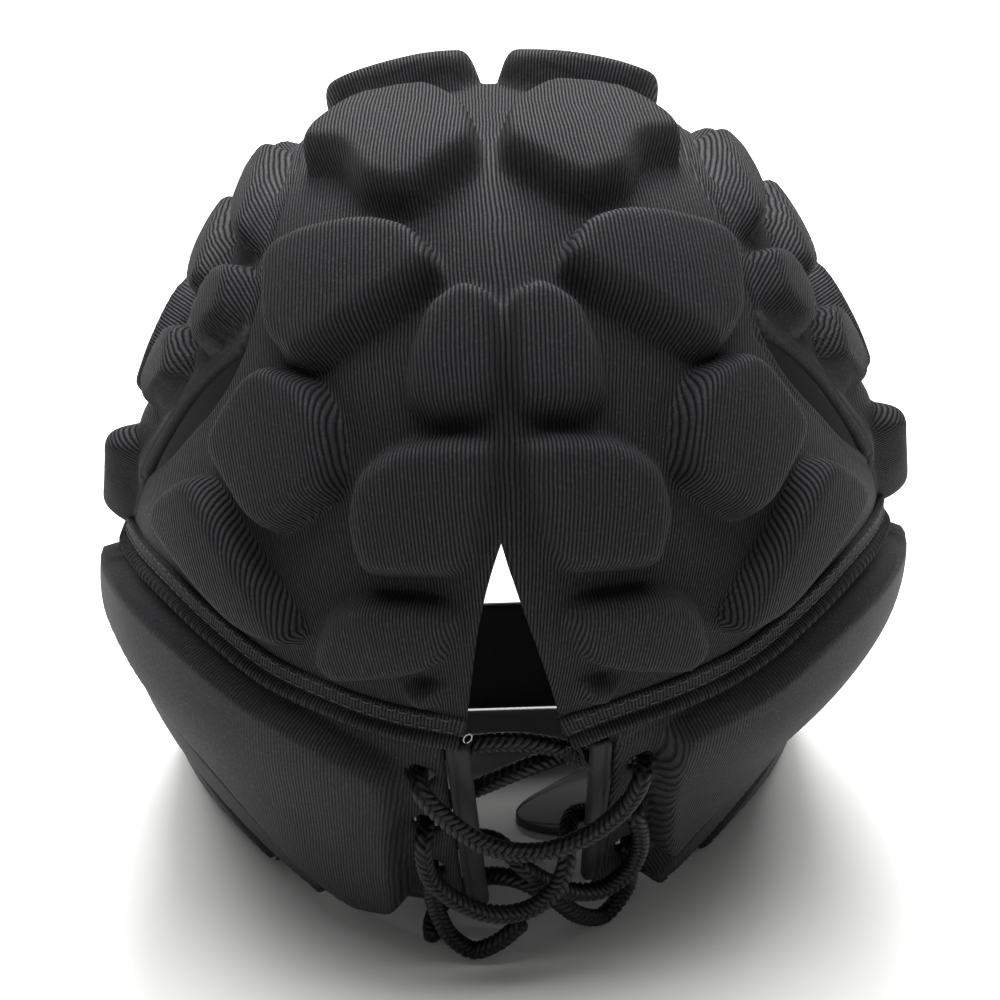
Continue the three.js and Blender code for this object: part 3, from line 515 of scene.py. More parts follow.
CROWN_PADS = (
    FoamPad("front_pad", 1.0, (
        (0.008, -0.12), (0.03, -0.088), (0.145, -0.092), (0.18, -0.13), (0.17, -0.24), (0.12, -0.29),
        (0.04, -0.3), (0.01, -0.22),
    )),
    FoamPad("brow_pad", 0.9, (
        (0.02, -0.34), (0.06, -0.325), (0.15, -0.33), (0.178, -0.38), (0.165, -0.5), (0.12, -0.545),
        (0.04, -0.555), (0.02, -0.45),
    )),
    FoamPad("crown_pad", 1.0, (
        (0.045, -0.022), (0.125, -0.012), (0.168, 0.03), (0.176, 0.06), (0.13, 0.093), (0.115, 0.155),
        (0.066, 0.188), (0.005, 0.125), (0.01, 0.04),
    )),
    FoamPad("back_pad", 1.0, (
        (0.045, 0.255), (0.062, 0.212), (0.1, 0.19), (0.205, 0.163), (0.232, 0.18), (0.24, 0.25),
        (0.205, 0.303), (0.165, 0.303), (0.075, 0.275),
    )),
    FoamPad("centre_pad", 0.85, (
        (0.003, 0.28), (0.03, 0.265), (0.068, 0.285), (0.089, 0.33), (0.092, 0.366), (0.06, 0.381),
        (0.003, 0.379),
    )),
    FoamPad("outer_pad", 1.0, (
        (0.168, 0.36), (0.185, 0.318), (0.235, 0.277), (0.265, 0.275), (0.323, 0.292), (0.332, 0.313),
        (0.297, 0.395), (0.268, 0.426), (0.172, 0.418),
    )),
    FoamPad("slit_pad", 1.0, (
        (0.006, 0.398), (0.1, 0.392), (0.152, 0.405), (0.171, 0.445), (0.163, 0.498), (0.068, 0.513),
        (0.044, 0.505), (0.01, 0.44),
    )),
    FoamPad("bean_pad", 0.9, (
        (0.062, 0.55), (0.08, 0.533), (0.17, 0.512), (0.225, 0.515), (0.26, 0.548), (0.235, 0.585),
        (0.145, 0.598), (0.088, 0.595),
    )),
    FoamPad("seam_pad", 0.85, (
        (0.44, 0.276), (0.372, 0.3), (0.35, 0.335), (0.292, 0.465), (0.27, 0.522), (0.295, 0.532),
        (0.362, 0.48), (0.45, 0.33), (0.463, 0.292),
    )),
    FoamPad("dot_pad", 0.45, (
        (0.093, 0.62), (0.12, 0.61), (0.147, 0.616), (0.141, 0.635), (0.107, 0.642),
    )),
)

SIDE_PADS = (
    FoamPad("side_pad_top", 0.75, (
        (0.212, -0.03), (0.235, -0.06), (0.27, -0.035), (0.282, 0.03), (0.275, 0.095), (0.258, 0.125),
        (0.24, 0.108), (0.222, 0.06),
    )),
    FoamPad("side_pad_high", 0.75, (
        (0.298, -0.07), (0.335, -0.07), (0.365, -0.01), (0.368, 0.06), (0.35, 0.1), (0.322, 0.095),
        (0.303, 0.04),
    )),
    FoamPad("side_pad_middle", 0.75, (
        (0.262, 0.14), (0.29, 0.112), (0.325, 0.112), (0.352, 0.135), (0.348, 0.175), (0.325, 0.192),
        (0.285, 0.19),
    )),
    FoamPad("side_pad_low", 0.75, (
        (0.375, 0.105), (0.395, 0.065), (0.435, 0.055), (0.462, 0.09), (0.457, 0.135), (0.43, 0.155),
        (0.388, 0.167),
    )),
    FoamPad("side_pad_seam", 0.9, (
        (0.51, 0.07), (0.56, 0.0), (0.625, -0.015), (0.648, 0.03), (0.633, 0.084), (0.58, 0.113),
        (0.515, 0.125),
    ), shoulder=8.0),
    FoamPad("temple_pad_upper", 0.9, (
        (0.225, -0.16), (0.29, -0.14), (0.35, -0.17), (0.37, -0.25), (0.34, -0.35), (0.27, -0.4),
        (0.228, -0.33),
    )),
    FoamPad("temple_pad_lower", 0.9, (
        (0.42, -0.1), (0.48, -0.04), (0.54, -0.05), (0.548, -0.13), (0.49, -0.28), (0.42, -0.35),
        (0.388, -0.3), (0.395, -0.18),
    )),
)


@dataclass(frozen=True)
class LongPad:
    """A long pad of the nape band between an upper and a lower edge on the crown map."""

    name: str
    height: float
    upper: tuple[tuple[float, float], ...]
    lower: tuple[tuple[float, float], ...]
    at_lace: bool = False
    edge_steps: int = 14

    def foam(self, hand: Hand) -> FoamPad:
        """The pad with its outline closed, from the lace round or from its own end.

        Args:
            hand: The side of the cap, whose laced gap tells where a pad at the lace starts.

        Returns:
            The pad, flatter and with a steeper shoulder than those of the panels.
        """
        gap = GAPS[hand]
        upper, lower = np.array(self.upper, float), np.array(self.lower, float)
        if self.at_lace:
            top = SHELL.nape_spots(hand.value * gap.pad_edge, gap.pad_top) * [hand.value, 1]
            foot = SHELL.nape_spots(hand.value * gap.pad_edge, gap.pad_foot) * [hand.value, 1]
            corner = np.array(gap.pad_corner) * [hand.value, 1]
            upper, lower = np.vstack([top, upper]), np.vstack([foot, corner, lower])
        outline = np.vstack([evenly(upper, self.edge_steps), evenly(lower, self.edge_steps)[::-1]])
        return FoamPad(self.name, self.height, tuple(map(tuple, outline)), shoulder=2.8, toe=0.6, crown=0.03)


BAND_PADS = (
    LongPad(
        "nape_pad", 0.8,
        (
            (0.25, 0.655), (0.37, 0.56), (0.45, 0.464), (0.53, 0.352), (0.6, 0.237), (0.648, 0.14),
            (0.672, 0.04),
        ),
        ((0.505, 0.75), (0.56, 0.585), (0.62, 0.4), (0.685, 0.225), (0.712, 0.14), (0.725, 0.04)),
        at_lace=True,
    ),
    LongPad(
        "flap_pad_upper", 0.55,
        ((0.48, 0.82), (0.55, 0.71), (0.605, 0.555), (0.66, 0.39), (0.7, 0.27), (0.725, 0.17)),
        ((0.53, 0.83), (0.63, 0.69), (0.7, 0.505), (0.75, 0.35), (0.775, 0.25), (0.785, 0.17)),
    ),
    LongPad(
        "flap_pad_lower", 0.4,
        ((0.66, 0.74), (0.745, 0.55), (0.795, 0.35), (0.84, 0.12), (0.86, -0.1), (0.835, -0.36)),
        ((0.7, 0.69), (0.86, 0.44), (0.945, 0.16), (0.965, 0.02), (0.94, -0.16), (0.875, -0.37)),
    ),
)


def linear(code: str) -> tuple[float, float, float, float]:
    """Turn an sRGB hex colour into the linear one that shaders take.

    Args:
        code: Six hex digits.

    Returns:
        Red, green and blue from 0 to 1, and a full alpha.
    """
    part = np.array([int(code[k:k + 2], 16) for k in (0, 2, 4)]) / 255
    value = np.where(part <= 0.04045, part / 12.92, ((part + 0.055) / 1.055) ** 2.4)
    return (*map(float, value), 1.0)


def shaded(code: str, factor: float) -> tuple[float, ...]:
    """A hex colour's linear value times a factor, still opaque."""
    return (*(factor * part for part in linear(code)[:3]), 1.0)


class Shader:
    """A material's node tree, with short ways of adding nodes."""

    def __init__(self, name: str) -> None:
        """Start a material with only its output and its principled shader."""
        self.material = bpy.data.materials.new(name)
        self.material.use_nodes = True
        self.tree = self.material.node_tree
        self.surface = self.tree.nodes["Principled BSDF"]

    def add(self, kind: str, inputs: dict | None = None, **settings: object) -> bpy.types.Node:
        """Add a node with its settings and inputs.

        Args:
            kind: The node's type name, less the words ShaderNode.
            inputs: Values or output sockets by the input's name or number.
            settings: Properties of the node.

        Returns:
            The node.
        """
        node = self.tree.nodes.new(f"ShaderNode{kind}")
        for key, value in settings.items():
            setattr(node, key, value)
        for key, value in (inputs or {}).items():
            self.feed(node, key, value)
        return node

    def feed(self, node: bpy.types.Node, key: str | int, value: object) -> None:
        """Set one input of a node, by a link if the value is an output socket.

        Args:
            node: The node.
            key: The input's name or number.
            value: A value or an output socket.
        """
        if isinstance(value, bpy.types.NodeSocket):
            self.tree.links.new(value, node.inputs[key])
        else:
            node.inputs[key].default_value = value

    def math(self, operation: str, a: object, b: object = 0.0) -> bpy.types.NodeSocket:
        """The output of a math node."""
        return self.add("Math", {0: a, 1: b}, operation=operation).outputs[0]

    def times(self, a: object, b: object) -> bpy.types.NodeSocket:
        """The product of two outputs or numbers."""
        return self.math("MULTIPLY", a, b)

    def plus(self, a: object, b: object) -> bpy.types.NodeSocket:
        """The sum of two outputs or numbers."""
        return self.math("ADD", a, b)

    def half_up(self, wave: bpy.types.NodeSocket) -> bpy.types.NodeSocket:
        """A wave from -1 to 1 moved to run from 0 to 1."""
        return self.plus(self.times(wave, 0.5), 0.5)

    def body(self) -> bpy.types.NodeSocket:
        """The place on the object in metres."""
        return self.add("TexCoord").outputs["Object"]

    def cloth(self) -> bpy.types.NodeSocket:
        """The place on the cloth's own map in millimetres."""
        return self.add("UVMap", uv_map="knit_mm").outputs[0]

    def strength(self) -> bpy.types.NodeSocket:
        """The point attribute that says how far a pattern stands out."""
        return self.add("Attribute", attribute_name="rib_strength").outputs["Fac"]

    def noise(self, place: object, scale: float, detail: float) -> bpy.types.NodeSocket:
        """A cloudy noise from 0 to 1."""
        return self.add("TexNoise", {"Vector": place, "Scale": scale, "Detail": detail}).outputs[0]

    def blend(self, share: object, low: object, high: object) -> bpy.types.NodeSocket:
        """The colour a share of the way from one to another."""
        return self.add("Mix", {0: share, 6: low, 7: high}, data_type="RGBA").outputs[2]

    def bump(self, height: object, depth_mm: float) -> bpy.types.NodeSocket:
        """The normal of a face raised by a height from 0 to 1, times the depth."""
        return self.add("Bump", {"Height": height, "Strength": 1.0, "Distance": depth_mm * MM}).outputs[0]

    def dress(self, **inputs: object) -> bpy.types.Material:
        """Feed the principled shader, with underscores for the spaces of its input names."""
        for key, value in inputs.items():
            self.feed(self.surface, key.replace("_", " "), value)
        return self.material


@dataclass(frozen=True)
class RibKnit:
    """Polyester rib knit bonded to foam: matt charcoal with fine ribs and the loops of its yarn.

    The ribs and loops follow the cloth's own map in millimetres. Where rib_strength fades, the face is plain
    at the flat level. The yarn is heathered, so small specks of it are lighter. The grooves carry painted
    shade, a darker colour than the ridges, and are duller.
    """

    name: str = "polyester_rib_knit"
    ridge: str = "2f2f31"
    # The groove colour is painted shade in the grooves between the ribs.
    groove: str = "131314"
    fleck: str = "444447"
    pitch_mm: float = 0.78
    loop_mm: float = 0.7
    fleck_mm: float = 0.7
    depth_mm: float = 0.2
    waver_mm: float = 0.9
    waver_scale: float = 60.0
    flat: float = 0.7
    ridge_power: float = 0.6
    loop_slant: float = 1.4
    loop_height: float = 0.08
    grain_height: float = 0.35
    fleck_share: float = 0.55
    fleck_range: tuple[float, float] = (0.56, 0.74)
    gloss: float = 0.22

    def material(self) -> bpy.types.Material:
        """Build the knit's material: a power of a sine across, and a finer sine along for the loops."""
        s = Shader(self.name)
        cut = s.add("SeparateXYZ", {0: s.cloth()})
        body = s.body()
        waver = s.noise(body, self.waver_scale, 2.0)
        across = s.plus(cut.outputs[0], s.times(waver, self.waver_mm))
        wave = s.math("SINE", s.times(across, 2 * np.pi / self.pitch_mm))
        ribbed = s.math("SUBTRACT", s.math("POWER", s.half_up(wave), self.ridge_power), self.flat)
        rib = s.plus(s.times(ribbed, s.strength()), self.flat)
        along = s.times(cut.outputs[1], 2 * np.pi / self.loop_mm)
        loops = s.half_up(s.math("SINE", s.plus(along, s.times(wave, self.loop_slant))))
        grain = s.noise(body, 1000 / self.fleck_mm, 3.0)
        low, high = self.fleck_range
        speck = s.add("MapRange", {0: grain, 1: low, 2: high}).outputs[0]
        # Painted shade: the grooves between the ribs take the darker groove colour.
        base = s.blend(rib, linear(self.groove), linear(self.ridge))
        tone = s.blend(s.times(speck, s.times(rib, self.fleck_share)), base, linear(self.fleck))
        height = s.plus(rib, s.times(loops, s.times(rib, self.loop_height)))
        height = s.plus(height, s.times(grain, self.grain_height))
        return s.dress(
            Base_Color=tone, Roughness=0.62, Specular_IOR_Level=s.times(s.times(rib, grain), self.gloss),
            Sheen_Weight=0.02, Sheen_Roughness=0.4, Normal=s.bump(height, self.depth_mm),
        )


@dataclass(frozen=True)
class SmoothCloth:
    """Warp knit tape, lining or thread: a tight plain face with low gloss, fine grain and faint clouds."""

    name: str
    colour: str
    roughness: float = 0.75
    grain_mm: float = 0.45
    depth_mm: float = 0.06
    cloud_scale: float = 45.0
    grain_share: float = 0.6
    spread: float = 0.38

    def material(self) -> bpy.types.Material:
        """Build the cloth's material, darker and lighter by the spread."""
        s = Shader(self.name)
        body = s.body()
        grain = s.noise(body, 1000 / self.grain_mm, 3.0)
        cloud = s.noise(body, self.cloud_scale, 3.0)
        both = s.plus(s.times(grain, self.grain_share), s.times(cloud, 1 - self.grain_share))
        tone = s.blend(both, shaded(self.colour, 1 - self.spread), shaded(self.colour, 1 + self.spread))
        return s.dress(
            Base_Color=tone, Roughness=self.roughness, Specular_IOR_Level=0.22, Sheen_Weight=0.02,
            Normal=s.bump(grain, self.depth_mm),
        )


@dataclass(frozen=True)
class BraidYarn:
    """Braided polyester cord: dark strands with fine filaments, with painted shade in the crevices between
    strands, painted light where they stand out, and shinier there.
    """

    name: str = "braided_polyester_cord"
    colour: str = "101011"
    filament_mm: float = 0.35
    depth_mm: float = 0.12
    crevice_shade: float = 0.1
    raised_light: float = 1.7
    gloss: float = 0.3

    def material(self) -> bpy.types.Material:
        """Build the yarn's material from a noise on the strands' own map, with painted shade between the
        strands.
        """
        s = Shader(self.name)
        noise = s.noise(s.cloth(), 1 / self.filament_mm, 2.0)
        raised = s.strength()
        # Painted shade and light: the colour darkens where the strands dive and lightens where they stand
        # out.
        share = s.times(s.plus(noise, 0.3), raised)
        tone = s.blend(share, shaded(self.colour, self.crevice_shade), shaded(self.colour, self.raised_light))
        return s.dress(
            Base_Color=tone, Roughness=0.42, Specular_IOR_Level=s.times(raised, self.gloss),
            Normal=s.bump(noise, self.depth_mm),
        )


@dataclass(frozen=True)
class Finishes:
    """Every finish of the cap, made once."""

    knit: bpy.types.Material
    lining: bpy.types.Material
    tape: bpy.types.Material
    strap: bpy.types.Material
    braid: bpy.types.Material
    thread: bpy.types.Material
    pale_thread: bpy.types.Material

    @classmethod
    def made(cls) -> Finishes:
        """Build all materials."""
        return cls(
            knit=RibKnit().material(),
            lining=SmoothCloth("brushed_tricot_lining", "1a1a1c", roughness=0.9).material(),
            tape=SmoothCloth("folded_binding_tape", "1c1c1e", roughness=0.55, depth_mm=0.04).material(),
            # The strap cloth's own dark grey is lifted to a lighter grey: painted light that stands in for
            # light on the strap where it lies in shade behind the slit.
            strap=SmoothCloth("laminated_strap_cloth", "48484a", roughness=0.55).material(),
            braid=BraidYarn().material(),
            thread=SmoothCloth("spun_polyester_thread", "3a3a3c", roughness=0.55, grain_mm=0.3).material(),
            pale_thread=SmoothCloth("bare_nylon_thread", "b4b4b2", roughness=0.4, grain_mm=0.3).material(),
        )


def new_mesh(
    name: str,
    points: Array,
    faces: list[Array],
    materials: list[bpy.types.Material],
    face_materials: Array | None = None,
    cloth_map: Array | None = None,
    rib_strength: Array | None = None,
) -> bpy.types.Object:
    """Make an object from points in millimetres, moved to the frame's origin.

    Args:
        name: The piece's name.
        points: Shape (n, 3), about the shell's own origin.
        faces: Arrays of corner numbers, each with the same count of corners a row.
        materials: Material slots.
        face_materials: The slot of each face.
        cloth_map: Two numbers a point in millimetres, kept as a UV map for patterns.
        rib_strength: How strongly the knit's ribs show at each point, or on the braid how far its strands
            stand out, which sets their painted shade; 1 if left out.

    Returns:
        The object, at the origin.
    """
    mesh = bpy.data.meshes.new(name)
    counts = np.concatenate([np.full(len(f), f.shape[1]) for f in faces])
    corners = np.concatenate([f.ravel() for f in faces]).astype(np.int32)
    mesh.vertices.add(len(points))
    mesh.vertices.foreach_set("co", ((points + SHIFT) * MM).astype(np.float32).ravel())
    mesh.loops.add(len(corners))
    mesh.loops.foreach_set("vertex_index", corners)
    mesh.polygons.add(len(counts))
    starts = np.concatenate([[0], np.cumsum(counts)[:-1]]).astype(np.int32)
    mesh.polygons.foreach_set("loop_start", starts)
    mesh.polygons.foreach_set("use_smooth", np.ones(len(counts), bool))
    for material in materials:
        mesh.materials.append(material)
    if face_materials is not None:
        mesh.polygons.foreach_set("material_index", face_materials.astype(np.int32))
    if cloth_map is not None:
        layer = mesh.uv_layers.new(name="knit_mm")
        layer.data.foreach_set("uv", cloth_map[corners].astype(np.float32).ravel())
    strength = mesh.attributes.new("rib_strength", "FLOAT", "POINT")
    values = np.ones(len(points)) if rib_strength is None else rib_strength
    strength.data.foreach_set("value", values.astype(np.float32))
    mesh.update(calc_edges=True)
    mesh.validate()
    made = bpy.data.objects.new(name, mesh)
    bpy.context.scene.collection.objects.link(made)
    return made


def numbered(grid: Array) -> Array:
    """The numbers of a grid's points, counted row by row."""
    rows, columns = grid.shape[:2]
    return np.arange(rows * columns).reshape(rows, columns)


def grid_quads(numbers: Array, hand: Hand) -> Array:
    """Corner numbers of a grid's cells, turned round on the left side.

    Args:
        numbers: The points' numbers, in rows and columns.
        hand: The side of the cap that the grid is on.

    Returns:
        Shape (cells, 4).
    """
    corners = [numbers[:-1, :-1], numbers[1:, :-1], numbers[1:, 1:], numbers[:-1, 1:]]
    quads = np.stack(corners, -1).reshape(-1, 4)
    return quads[:, ::-1] if hand is Hand.LEFT else quads


def open_edges(quads: Array) -> Array:
    """Directed edges that only one face has.

    Args:
        quads: Corner numbers, shape (faces, 4).

    Returns:
        Shape (edges, 2).
    """
    edges = np.stack([quads, np.roll(quads, -1, axis=1)], -1).reshape(-1, 2)
    key = edges.min(1).astype(np.int64) * (edges.max() + 1) + edges.max(1)
    _, place, count = np.unique(key, return_index=True, return_counts=True)
    return edges[place[count == 1]]


@dataclass
class ClothWall:
    """A wall of cloth on the shell: a shaped outer face, a lining and turned edges.

    Within the turn of an open edge the outer face sinks by outer_turn and the lining rises by inner_turn, all
    in millimetres.
    """

    name: str
    spots: Array
    quads: Array
    edges: list[Array]
    edge_reach: float = 8.0
    turn: float = 1.5
    outer_turn: float = 0.9
    inner_turn: float = 0.7

    def __post_init__(self) -> None:
        """Place the spots on the shell and measure how far each lies from an open edge."""
        self.points = SHELL.points(self.spots)
        self.rise = np.zeros(len(self.spots))
        self.edge_distance = np.full(len(self.spots), self.edge_reach)
        for edge in self.edges:
            near = line_distance(self.points, SHELL.points(edge), self.edge_reach)
            self.edge_distance = np.minimum(self.edge_distance, near)

    def add_pads(self, pads: tuple[FoamPad, ...], hand: Hand) -> None:
        """Raise the cloth over pads, each place by the highest of them."""
        for pad in pads:
            self.rise = np.maximum(self.rise, pad.rise(self.spots, self.points, hand, PAD_FULL))

    def add_groove(self, line: Array, at: float, width: float, depth: float) -> None:
        """Sink a bell-shaped groove that runs beside a map line at a distance, in millimetres."""
        d = line_distance(self.points, SHELL.points(line), at + 4 * width)
        self.rise -= depth * np.exp(-(((d - at) / width) ** 2))

    def add_swell(self, spot: tuple[float, float], width: float, height: float) -> None:
        """Raise a bell-shaped swell about a map spot, with its width in millimetres."""
        d = np.linalg.norm(self.points - SHELL.points(np.array([spot], float)), axis=1)
        self.rise += height * np.exp(-((d / width) ** 2))

    def add_unevenness(self, depth: float) -> None:
        """Add slow waves of a hand-laid cloth: three crossed sines of 33 to 68 mm.

        Args:
            depth: How high they rise where all three meet, in millimetres.
        """
        x, y, z = self.points.T
        wave = np.sin(x / 5.3 + z / 8.1) + np.sin(y / 6.7 - x / 9.2) + np.sin(z / 7.3 + y / 10.9)
        self.rise += depth * wave / 3

    def build(
        self, finishes: Finishes, cloth_map: Array, rib_strength: Array | None = None,
    ) -> bpy.types.Object:
        """Make the closed wall.

        The outer face is the shell plus the rise, rounded down by a square law at an open edge, and the
        lining lies one wall further in.

        Args:
            finishes: The cap's materials.
            cloth_map: Two numbers a spot in millimetres, for the knit's pattern.
            rib_strength: How strongly the ribs show at each spot, 1 if left out.

        Returns:
            The piece.
        """
        left = np.clip(1 - self.edge_distance / self.turn, 0, 1) ** 2
        outer = SHELL.lifted(self.spots, self.rise - self.outer_turn * left)
        inner = SHELL.lifted(self.spots, -WALL + self.inner_turn * left)
        count = len(self.spots)
        rim = open_edges(self.quads)
        sides = np.stack([rim[:, 1], rim[:, 0], rim[:, 0] + count, rim[:, 1] + count], -1)
        quads = np.vstack([self.quads, self.quads[:, ::-1] + count, sides])
        kinds = np.repeat([0, 1, 0], [len(self.quads), len(self.quads), len(sides)])
        return new_mesh(
            self.name, np.vstack([outer, inner]), [quads], [finishes.knit, finishes.lining], kinds,
            np.vstack([cloth_map, cloth_map]),
            None if rib_strength is None else np.concatenate([rib_strength, rib_strength]),
        )


@dataclass
class CrownPanel:
    """The crown panel: one ribbed cloth over ten pairs of foam pads, split at the nape by the slit."""

    row_steps: int = 13
    column_steps: int = 10
    centre_rows: int = 15
    slit_rows: int = 7
    seam_rows: int = 12
    vent_rows: int = 7
    lower_rows: int = 3
    columns: int = 8
    knit_even: float = 0.33
    knit_down: float = 200.0

    def slit(self, hand: Hand) -> Array:
        """The slit's edge on the crown map."""
        foot = SHELL.nape_spots(hand.value * GAPS[hand].slit_foot, GAPS[hand].band_top + 1.5)
        return np.array([SEAMS.centre[-1], *GAPS[hand].slit_bends, foot])

    def lower(self, hand: Hand) -> Array:
        """The lower seam from the slit round to the vent."""
        return np.vstack([self.slit(hand)[-1], mirrored(SEAMS.lower_back, hand)[1:]])

    def half(self, hand: Hand) -> tuple[Array, list[Array]]:
        """One half's grid of map spots, and its open edges.

        Args:
            hand: The side of the cap.

        Returns:
            The grid and the list of edges.
        """
        n, m = self.row_steps, self.column_steps
        slit = evenly(self.slit(hand), self.slit_rows * n)
        near = joined(evenly(np.array(SEAMS.centre, float), self.centre_rows * n), slit)
        seam = evenly(mirrored(SEAMS.side, hand), self.seam_rows * n)
        vent = evenly(mirrored(SEAMS.vent_inner, hand), self.vent_rows * n)
        short = evenly(mirrored(SEAMS.vent_to_lower, hand), self.lower_rows * n)
        far = joined(seam, vent, short)
        start = evenly(mirrored(SEAMS.brow_centre, hand), self.columns * m)
        end = evenly(self.lower(hand), self.columns * m)
        return filled(near, far, start, end), [slit, far, start, end]

    def wall(self) -> ClothWall:
        """Both halves as one wall that shares the centre line down to the slit."""
        shared = self.centre_rows * self.row_steps + 1
        grids = {hand: self.half(hand) for hand in (Hand.RIGHT, Hand.LEFT)}
        right, left = grids[Hand.RIGHT][0], grids[Hand.LEFT][0]
        number = numbered(right)
        other = number + number.size
        other[:shared, 0] = number[:shared, 0]
        spots = np.vstack([right.reshape(-1, 2), left.reshape(-1, 2)])
        quads = np.vstack([grid_quads(number, Hand.RIGHT), grid_quads(other, Hand.LEFT)])
        used, quads = np.unique(quads, return_inverse=True)
        edges = grids[Hand.RIGHT][1] + grids[Hand.LEFT][1]
        return ClothWall("crown_cloth", spots[used], quads.reshape(-1, 4), edges)

    def build(self, finishes: Finishes) -> bpy.types.Object:
        """Raise the pads, sew the hems and make the piece.

        The cloth's map is the flat crown map, stretched across as much as the shell is down to knit_even.

        Args:
            finishes: The cap's materials.

        Returns:
            The piece.
        """
        wall = self.wall()
        for hand in Hand:
            wall.add_pads(CROWN_PADS, hand)
            wall.add_groove(evenly(self.lower(hand), 90), at=4.6, width=0.8, depth=0.55)
            wall.add_groove(evenly(self.slit(hand), 60), at=3.2, width=0.7, depth=0.3)
            wall.add_groove(evenly(mirrored(SEAMS.side, hand), 80), at=2.6, width=0.6, depth=0.35)
            wall.add_groove(evenly(mirrored(SEAMS.vent_inner, hand), 40), at=3.0, width=0.6, depth=0.3)
        wall.add_swell((-0.15, 0.335), width=9, height=1.6)
        wall.add_swell((0.17, 0.33), width=8, height=1.2)
        wall.add_unevenness(0.3)
        held = np.clip(np.hypot(wall.spots[:, 0], wall.spots[:, 1]), 1e-3, self.knit_even)
        across = wall.spots[:, 0] * SHELL.width / 2 * SHELL.read(SHELL.side, held) / held
        piece = wall.build(finishes, np.stack([across, wall.spots[:, 1] * self.knit_down], -1))
        pads = [f"{pad.name}_{hand.word}" for pad in CROWN_PADS for hand in Hand]
        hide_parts("crown_panel", *pads)
        return piece


@dataclass
class SidePanel:
    """A side panel from the brow to the vent's lower end, with the vent's folded hem."""

    hand: Hand
    row_steps: int = 10
    column_steps: int = 14
    seam_rows: int = 12
    vent_rows: int = 7
    columns: int = 5
    hem_width: float = 6.5
    hem_height: float = 0.7
    ear_swell: tuple[float, float] = (0.5, 0.085)
    knit_size: tuple[float, float] = (270.0, 200.0)

    def build(self, finishes: Finishes) -> bpy.types.Object:
        """Raise the pads and the vent's hem, which shows no ribs, and make the piece.

        Args:
            finishes: The cap's materials.

        Returns:
            The piece.
        """
        n, m = self.row_steps, self.columns * self.column_steps
        seam = evenly(mirrored(SEAMS.side, self.hand), self.seam_rows * n)
        vent = evenly(mirrored(SEAMS.vent_outer, self.hand), self.vent_rows * n)
        near = joined(seam, vent)
        far = evenly(mirrored(SEAMS.lower_side, self.hand)[::-1], (self.seam_rows + self.vent_rows) * n)
        start = evenly(mirrored(SEAMS.brow_side, self.hand), m)
        end = evenly(mirrored(SEAMS.vent_to_lower, self.hand), m)
        grid = filled(near, far, start, end)
        word = self.hand.word
        wall = ClothWall(
            f"side_cloth_{word}", grid.reshape(-1, 2), grid_quads(numbered(grid), self.hand),
            [near, far, start, end],
        )
        wall.add_pads(SIDE_PADS, self.hand)
        hem = line_distance(wall.points, SHELL.points(vent), 9)
        wall.rise += self.hem_height * smooth((self.hem_width - hem) / 1.2)
        wall.add_groove(vent, at=1.7, width=0.45, depth=0.5)
        wall.add_groove(vent, at=5.0, width=0.45, depth=0.5)
        wall.add_groove(seam, at=2.6, width=0.6, depth=0.35)
        wall.add_groove(far, at=3.0, width=0.7, depth=0.4)
        wall.add_swell((self.hand.value * self.ear_swell[0], self.ear_swell[1]), width=11, height=3.2)
        wall.add_unevenness(0.25)
        piece = wall.build(finishes, wall.spots * self.knit_size, smooth((hem - self.hem_width + 1) / 2))
        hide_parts(f"side_panel_{word}", *(f"{pad.name}_{word}" for pad in SIDE_PADS))
        return piece


@dataclass(frozen=True)
class Hole:
    """A round or oval hole through a nape band, in the plane that it is seen in."""

    centre: tuple[float, float]
    radii: tuple[float, float]
    axes: tuple[int, int]

    def punch(self, points: Array, spots: Array, quads: Array) -> tuple[Array, Array]:
        """Drop the cells inside the hole and draw the cut corners out to its edge.

        Args:
            points: Points on the shell in millimetres.
            spots: Their map places, which move with the corners.
            quads: The cells.

        Returns:
            The moved map places and the cells that stay.
        """
        offset = (points[:, self.axes] - self.centre) / self.radii
        reach = np.linalg.norm(offset, axis=1)
        if 0 in self.axes:
            reach = np.where(points[:, 1] > 0, np.inf, reach)
        within = reach < 1
        kept = quads[~np.all(within[quads], axis=1)]
        moving = np.flatnonzero(within & np.isin(np.arange(len(points)), kept))
        moved = spots.copy()
        for _ in range(4):
            flat = SHELL.points(moved[moving])[:, self.axes]
            want = flat - self.centre
            want = want / np.linalg.norm(want / self.radii, axis=1, keepdims=True) + self.centre
            step = 1e-3
            gradient = [
                (SHELL.points(moved[moving] + delta)[:, self.axes] - flat) / step
                for delta in ([step, 0], [0, step])
            ]
            slope = np.stack(gradient, -1)
            moved[moving] += np.linalg.solve(slope, (want - flat)[..., None])[..., 0]
        return moved, kept


def lower_back(hand: Hand, top: Array) -> Array:
    """The lower seam's rows behind the head, from a spot at the gap. The wider right gap skips one more."""
    return np.vstack([top, mirrored(SEAMS.lower_back, hand)[1 if hand is Hand.LEFT else 2:]])


EYELETS = {
    Hand.LEFT: ((-19.5, 63), (-18.8, 46), (-18.5, 30)),
    Hand.RIGHT: ((29.5, 62), (28.5, 45), (28, 27)),
}


